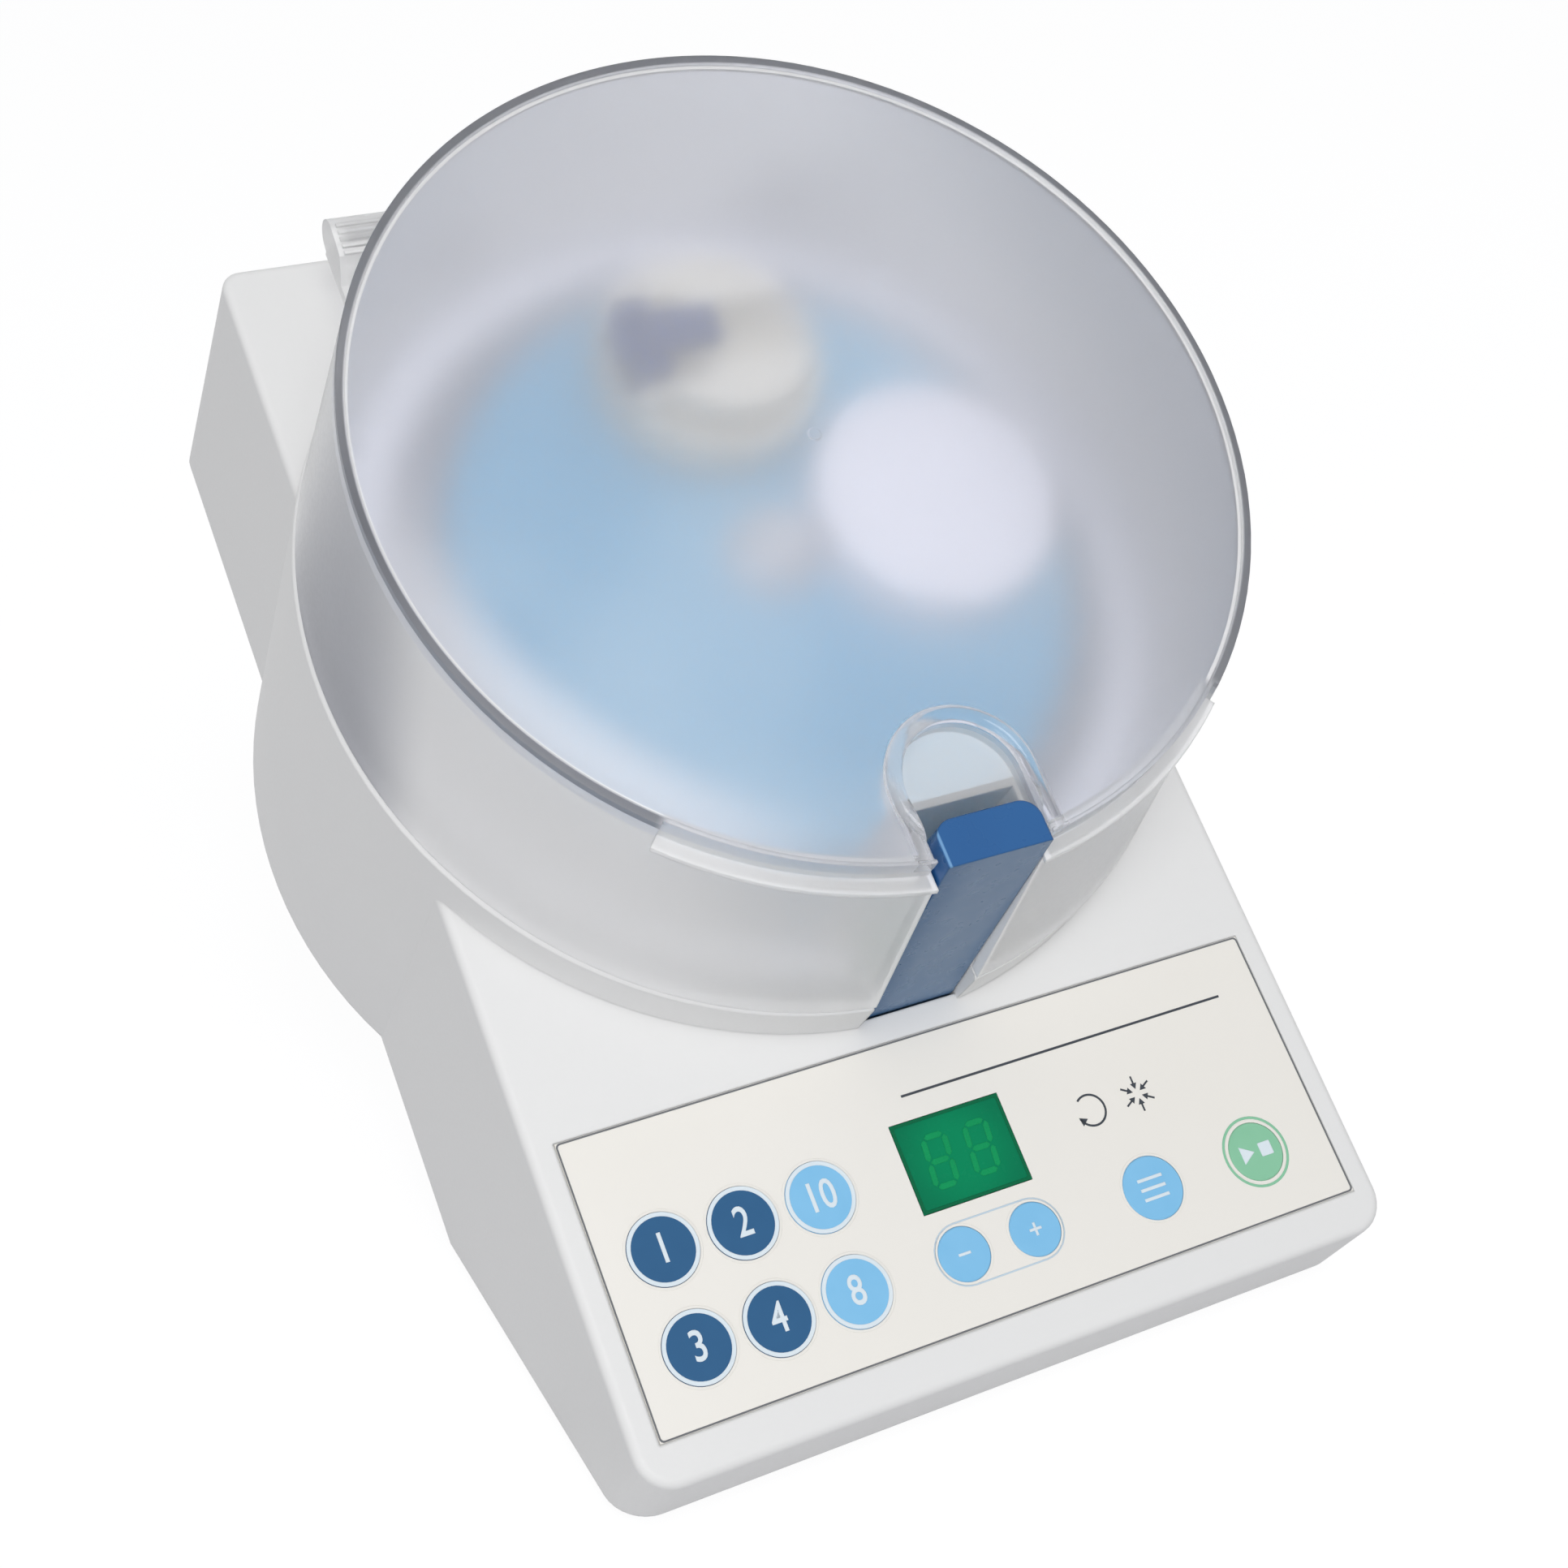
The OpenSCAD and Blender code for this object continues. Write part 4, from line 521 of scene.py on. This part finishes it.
def ring(cx, cy, outer, inner):
    """The two circles of a flat ring."""
    return [arc(cx, cy, outer), arc(cx, cy, inner)]


def rounded(cx, cy, width, height, radius):
    """A rectangle with round corners."""
    x, y = width / 2 - radius, height / 2 - radius
    corners = [(x, y, 0), (-x, y, 90), (-x, -y, 180), (x, -y, 270)]
    return [p for dx, dy, turn in corners for p in arc(cx + dx, cy + dy, radius, turn, 90, 8)]


def bar(x1, y1, x2, y2, width):
    """A straight stroke between two points."""
    length = math.hypot(x2 - x1, y2 - y1)
    ox, oy = (y2 - y1) / length * width / 2, (x1 - x2) / length * width / 2
    return [(x1 - ox, y1 - oy), (x1 + ox, y1 + oy), (x2 + ox, y2 + oy), (x2 - ox, y2 - oy)]


def arrow_head(x, y, angle, size):
    """A triangle with its tip at a point, pointing along an angle in degrees."""
    backs = [math.radians(angle + turn) for turn in (150, 210)]
    return [(x, y)] + [(x + size * math.cos(a), y + size * math.sin(a)) for a in backs]


# The numerals: their height, the share of their width that is kept, and what is added to their strokes
NUMERAL_H = 7.4
NUMERAL_NARROW = 0.82
NUMERAL_BOLD = 0.09


def numeral(name, text, x, y, material, body):
    """Plain numerals as a thin printed solid, centred on a point of the keypad."""
    curve = bpy.data.curves.new(name, "FONT")
    curve.body = text
    curve.size = NUMERAL_H * MM
    curve.align_x = "CENTER"
    curve.align_y = "CENTER"
    curve.extrude = INK * MM / 2
    curve.offset = NUMERAL_BOLD * MM
    curve.resolution_u = 4
    source = bpy.data.objects.new(name + "_curve", curve)
    bpy.context.collection.objects.link(source)
    bpy.context.view_layer.update()
    mesh = bpy.data.meshes.new_from_object(source.evaluated_get(bpy.context.evaluated_depsgraph_get()))
    bpy.data.objects.remove(source)
    narrow = Matrix.Diagonal((NUMERAL_NARROW, 1, 1, 1))
    mesh.transform(DECK @ Matrix.Translation(Vector((x, y, KEY_TOP + INK / 2)) * MM) @ narrow)
    mesh.materials.clear()
    mesh.materials.append(material)
    piece = bpy.data.objects.new(name, mesh)
    bpy.context.collection.objects.link(piece)
    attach(piece, body)


# The foil's outline, just inside its edge, and the heading line
FOIL_W = (FOIL_HIGH.x - FOIL_LOW.x) / MM
FOIL_H = 52.0
OUTLINE_IN = 0.05
OUTLINE_W = 0.3
outline_w, outline_h = FOIL_W - 2 * OUTLINE_IN, FOIL_H - 2 * OUTLINE_IN
print_shape("foil_outline", [rounded(0, 0, outline_w, outline_h, 0.8),
                             rounded(0, 0, outline_w - 2 * OUTLINE_W, outline_h - 2 * OUTLINE_W, 0.6)],
            FOIL_TOP, OUTLINE_INK)
HEADING_LEFT, HEADING_RIGHT, HEADING_Y, HEADING_W = -7.6, 61, 16, 0.45
print_shape("heading_line", [bar(HEADING_LEFT, HEADING_Y, HEADING_RIGHT, HEADING_Y, HEADING_W)], FOIL_TOP,
            DARK_INK)

# The six big keys, each with a numeral and a pale halo
FIRST_X, PITCH_X, UPPER_Y, LOWER_Y = -58.4, 14.8, 3.6, -13.5
KEYS = {
    "key_program_1": (FIRST_X, UPPER_Y, "1"),
    "key_program_2": (FIRST_X + PITCH_X, UPPER_Y, "2"),
    "key_program_3": (FIRST_X, LOWER_Y, "3"),
    "key_program_4": (FIRST_X + PITCH_X, LOWER_Y, "4"),
    "key_time_10": (FIRST_X + 2 * PITCH_X, UPPER_Y, "10"),
    "key_time_8": (FIRST_X + 2 * PITCH_X, LOWER_Y, "8"),
}
KEY_R = 6.4
HALO_OUTER = KEY_R - 0.05
HALO_INNER = KEY_R - 0.8
for name, (x, y, text) in KEYS.items():
    numeral(name + "_numeral", text, x, y, PALE_INK, name)
    print_shape(name + "_halo", ring(x, y, HALO_OUTER, HALO_INNER), KEY_TOP, PALE_INK, name)

# The foil's lip round each key, which covers the gap between them
MINUS_X, PLUS_X, MODE_X, START_X = -7.7, 6.7, 31.6, 54.3
SMALL_KEY_R, MODE_KEY_R, START_KEY_R = 4.9, 5.9, 5.5
LIP_W = 0.5
KEY_GAP = 0.03
lips = {name: (x, y, KEY_R) for name, (x, y, text) in KEYS.items()}
lips["key_minus"] = (MINUS_X, LOWER_Y, SMALL_KEY_R)
lips["key_plus"] = (PLUS_X, LOWER_Y, SMALL_KEY_R)
lips["key_mode"] = (MODE_X, LOWER_Y, MODE_KEY_R)
lips["key_start"] = (START_X, LOWER_Y, START_KEY_R)
for name, (x, y, radius) in lips.items():
    print_shape(name + "_lip", ring(x, y, radius + KEY_GAP + LIP_W, radius + KEY_GAP), FOIL_TOP, FOIL)

# The pill round the minus and plus keys, with ends that are nearly half circles
PILL_W, PILL_H = PLUS_X - MINUS_X + 11.2, 11.4
PILL_LINE_W = 0.3
PILL_R = PILL_H / 2 - 0.05
pill_x = (PLUS_X + MINUS_X) / 2
pill_inner_w, pill_inner_h = PILL_W - 2 * PILL_LINE_W, PILL_H - 2 * PILL_LINE_W
print_shape("minus_plus_pill", [rounded(pill_x, LOWER_Y, PILL_W, PILL_H, PILL_R),
                                rounded(pill_x, LOWER_Y, pill_inner_w, pill_inner_h, PILL_R - PILL_LINE_W)],
            FOIL_TOP, PALE_LINE_INK)

# Minus and plus signs. The plus sign's upright is thinner, so that its two strokes share no top face.
STROKE = 0.5
SIGN_REACH = 1.2
for name, sign_x, body in (("minus_sign", MINUS_X, "key_minus"), ("plus_sign_across", PLUS_X, "key_plus")):
    print_shape(name, [bar(sign_x - SIGN_REACH, LOWER_Y, sign_x + SIGN_REACH, LOWER_Y, STROKE)], KEY_TOP,
                PALE_INK, body)
print_shape("plus_sign_up", [bar(PLUS_X, LOWER_Y - SIGN_REACH, PLUS_X, LOWER_Y + SIGN_REACH, STROKE)],
            KEY_TOP, PALE_INK, "key_plus", INK * 0.8)

# Generic mode mark: three short bars
MODE_REACH, MODE_BAR_W, MODE_PITCH = 2.6, 0.6, 1.8
for i in range(3):
    bar_y = LOWER_Y + MODE_PITCH * (1 - i)
    mode_bar = bar(MODE_X - MODE_REACH, bar_y, MODE_X + MODE_REACH, bar_y, MODE_BAR_W)
    print_shape(f"mode_bar_{i + 1}", [mode_bar], KEY_TOP, PALE_INK, "key_mode")

# Generic start and stop marks, a triangle and a square, and the green ring round their key
START_BACK_X, START_TIP_X, START_HALF_H = START_X - 3.2, START_X - 0.4, 1.7
STOP_X, STOP_W, STOP_R = START_X + 2.1, 2.6, 0.2
START_RING_OUTER, START_RING_INNER = 6.7, 6.2
print_shape("start_mark", [[(START_BACK_X, LOWER_Y - START_HALF_H), (START_TIP_X, LOWER_Y),
                            (START_BACK_X, LOWER_Y + START_HALF_H)]], KEY_TOP, PALE_INK, "key_start")
print_shape("stop_mark", [rounded(STOP_X, LOWER_Y, STOP_W, STOP_W, STOP_R)], KEY_TOP, PALE_INK, "key_start")
print_shape("start_ring", ring(START_X, LOWER_Y, START_RING_OUTER, START_RING_INNER), FOIL_TOP, GREEN_INK)

# Mixing mark: an open ring that ends in an arrow head. Its angles are in degrees.
RING_X, RING_Y, RING_R, RING_HALF_W = 26.3, 3.2, 2.9, 0.2
RING_START, RING_SWEEP, RING_STEPS = 200, 290, 40
ring_outer = arc(RING_X, RING_Y, RING_R + RING_HALF_W, RING_START, RING_SWEEP, RING_STEPS)
ring_inner = arc(RING_X, RING_Y, RING_R - RING_HALF_W, RING_START + RING_SWEEP, -RING_SWEEP, RING_STEPS)
print_shape("mixing_ring", [ring_outer + ring_inner], FOIL_TOP, DARK_INK)
print_shape("mixing_arrow", [arrow_head(RING_X - 2.6, RING_Y - 2.4, 250, 1.7)], FOIL_TOP, DARK_INK)

# Spinning mark: six arrows that point inwards, by the radii of their tips and their strokes' two ends
BURST_X, BURST_Y = 36.5, 3.4
TIP_R, STROKE_INNER_R, STROKE_OUTER_R = 0.9, 1.9, 3.4
BURST_STROKE, BURST_HEAD = 0.35, 1.3
for i in range(6):
    turn = 60 * i + 30
    ux, uy = math.cos(math.radians(turn)), math.sin(math.radians(turn))
    stroke = bar(BURST_X + STROKE_OUTER_R * ux, BURST_Y + STROKE_OUTER_R * uy,
                 BURST_X + STROKE_INNER_R * ux, BURST_Y + STROKE_INNER_R * uy, BURST_STROKE)
    head = arrow_head(BURST_X + TIP_R * ux, BURST_Y + TIP_R * uy, turn + 180, BURST_HEAD)
    print_shape(f"burst_stroke_{i + 1}", [stroke], FOIL_TOP, DARK_INK)
    print_shape(f"burst_head_{i + 1}", [head], FOIL_TOP, DARK_INK)

# Display: dark border and two resting digits of seven strokes each
WINDOW_X, WINDOW_Y, WINDOW_W, WINDOW_H = -1.0, 3.2, 22.0, 16.5
BORDER_W = 0.6
inner_w, inner_h = WINDOW_W - 2 * BORDER_W, WINDOW_H - 2 * BORDER_W
print_shape("display_border", [rounded(WINDOW_X, WINDOW_Y, WINDOW_W, WINDOW_H, 0.8),
                               rounded(WINDOW_X, WINDOW_Y, inner_w, inner_h, 0.5)],
            FOIL_TOP, DARK_GREEN_INK)

# How far a digit's middle lies from the window's, its size, and its strokes' width, gap and lean
DIGIT_X, DIGIT_W, DIGIT_H = 4.2, 4.2, 9.0
DIGIT_STROKE, DIGIT_GAP, DIGIT_LEAN = 1.1, 0.25, 0.1


def digit_strokes(cx, cy):
    """The seven strokes of a digit, leaning to the right, each pointed at both ends."""
    x, y = DIGIT_W / 2, DIGIT_H / 2
    ends = [((-x, y), (x, y)), ((-x, 0), (x, 0)), ((-x, -y), (x, -y)),
            ((-x, 0), (-x, y)), ((x, 0), (x, y)), ((-x, -y), (-x, 0)), ((x, -y), (x, 0))]
    for (x1, y1), (x2, y2) in ends:
        length = math.hypot(x2 - x1, y2 - y1)
        ux, uy = (x2 - x1) / length, (y2 - y1) / length
        run, rise = ux * DIGIT_STROKE / 2, uy * DIGIT_STROKE / 2
        ax, ay = x1 + ux * DIGIT_GAP, y1 + uy * DIGIT_GAP
        bx, by = x2 - ux * DIGIT_GAP, y2 - uy * DIGIT_GAP
        outline = [(ax, ay), (ax + run + rise, ay + rise - run), (bx - run + rise, by - rise - run),
                   (bx, by), (bx - run - rise, by - rise + run), (ax + run - rise, ay + rise + run)]
        yield [(cx + px + DIGIT_LEAN * py, cy + py) for px, py in outline]


for side, digit_x in (("left", WINDOW_X - DIGIT_X), ("right", WINDOW_X + DIGIT_X)):
    for i, outline in enumerate(digit_strokes(digit_x, WINDOW_Y)):
        print_shape(f"digit_{side}_{i + 1}", [outline], FOIL_TOP, GHOST_GREEN)


# Camera, lights and floor

# The camera's lens, place and turn, fitted to the photograph
camera_data = bpy.data.cameras.new("camera")
camera_data.lens = 53.9
camera_data.sensor_width = 36
camera_data.clip_start = 0.01
camera = bpy.data.objects.new("camera", camera_data)
camera.location = Vector((-177.5, -379.8, 290.5)) * MM
camera.rotation_euler = [math.radians(angle) for angle in (62.58, 1.08, -26.96)]
bpy.context.collection.objects.link(camera)
bpy.context.scene.camera = camera


def softbox(name, location, target, size, power):
    """A round white lamp that faces a target. Places and sizes are in metres."""
    data = bpy.data.lights.new(name, "AREA")
    data.shape = "DISK"
    data.size = size
    data.energy = power
    lamp = bpy.data.objects.new(name, data)
    lamp.location = location
    lamp.rotation_euler = (Vector(target) - Vector(location)).to_track_quat("-Z", "Y").to_euler()
    bpy.context.collection.objects.link(lamp)


AIM = (0, 0, 0.1)
softbox("key_light", (-0.2, -1.2, 1.4), AIM, 1.0, 13.5)
softbox("fill_light", (-1.4, -1.2, 0.35), AIM, 1.2, 7.5)


def seen_directly(tree):
    """1 for rays that show the background: from the camera, or by reflection or through clear plastic."""
    path = add(tree, "LightPath").node.outputs
    seen = add(tree, "Math", (path["Is Camera Ray"], path["Is Glossy Ray"]), operation="MAXIMUM")
    return add(tree, "Math", (seen, path["Is Transmission Ray"]), operation="MAXIMUM")


def studio_world():
    """A soft pale light all round, from a background that shows as white."""
    world = bpy.data.worlds.new("studio")
    world.use_nodes = True
    tree = world.node_tree
    tree.nodes.clear()
    light = add(tree, "Background", {"Color": "#f4f5f7", "Strength": 0.5})
    white = add(tree, "Background", {"Color": "#ffffff", "Strength": 1.0})
    add(tree, "OutputWorld", {"Surface": add(tree, "MixShader", (seen_directly(tree), light, white))})
    bpy.context.scene.world = world


# Half the floor's width, in metres
FLOOR_HALF = 6.0


def pale_floor():
    """A plain pale floor that shows as white and keeps a faint shadow under the object."""
    material, tree, _ = start("pale_floor")
    matt = add(tree, "BsdfDiffuse", {"Color": "#c4c4c7"})
    white = add(tree, "Emission", {"Color": "#ffffff", "Strength": 1.16})
    share = add(tree, "Math", (seen_directly(tree), 0.8), **TIMES)
    add(tree, "OutputMaterial", {"Surface": add(tree, "MixShader", (share, matt, white))})
    mesh = bpy.data.meshes.new("floor")
    corners = [(x * FLOOR_HALF, y * FLOOR_HALF, 0) for x, y in ((-1, -1), (1, -1), (1, 1), (-1, 1))]
    mesh.from_pydata(corners, [], [(0, 1, 2, 3)])
    mesh.materials.append(material)
    floor = bpy.data.objects.new("floor", mesh)
    bpy.context.collection.objects.link(floor)


studio_world()
pale_floor()
bpy.context.scene.view_settings.view_transform = "Standard"
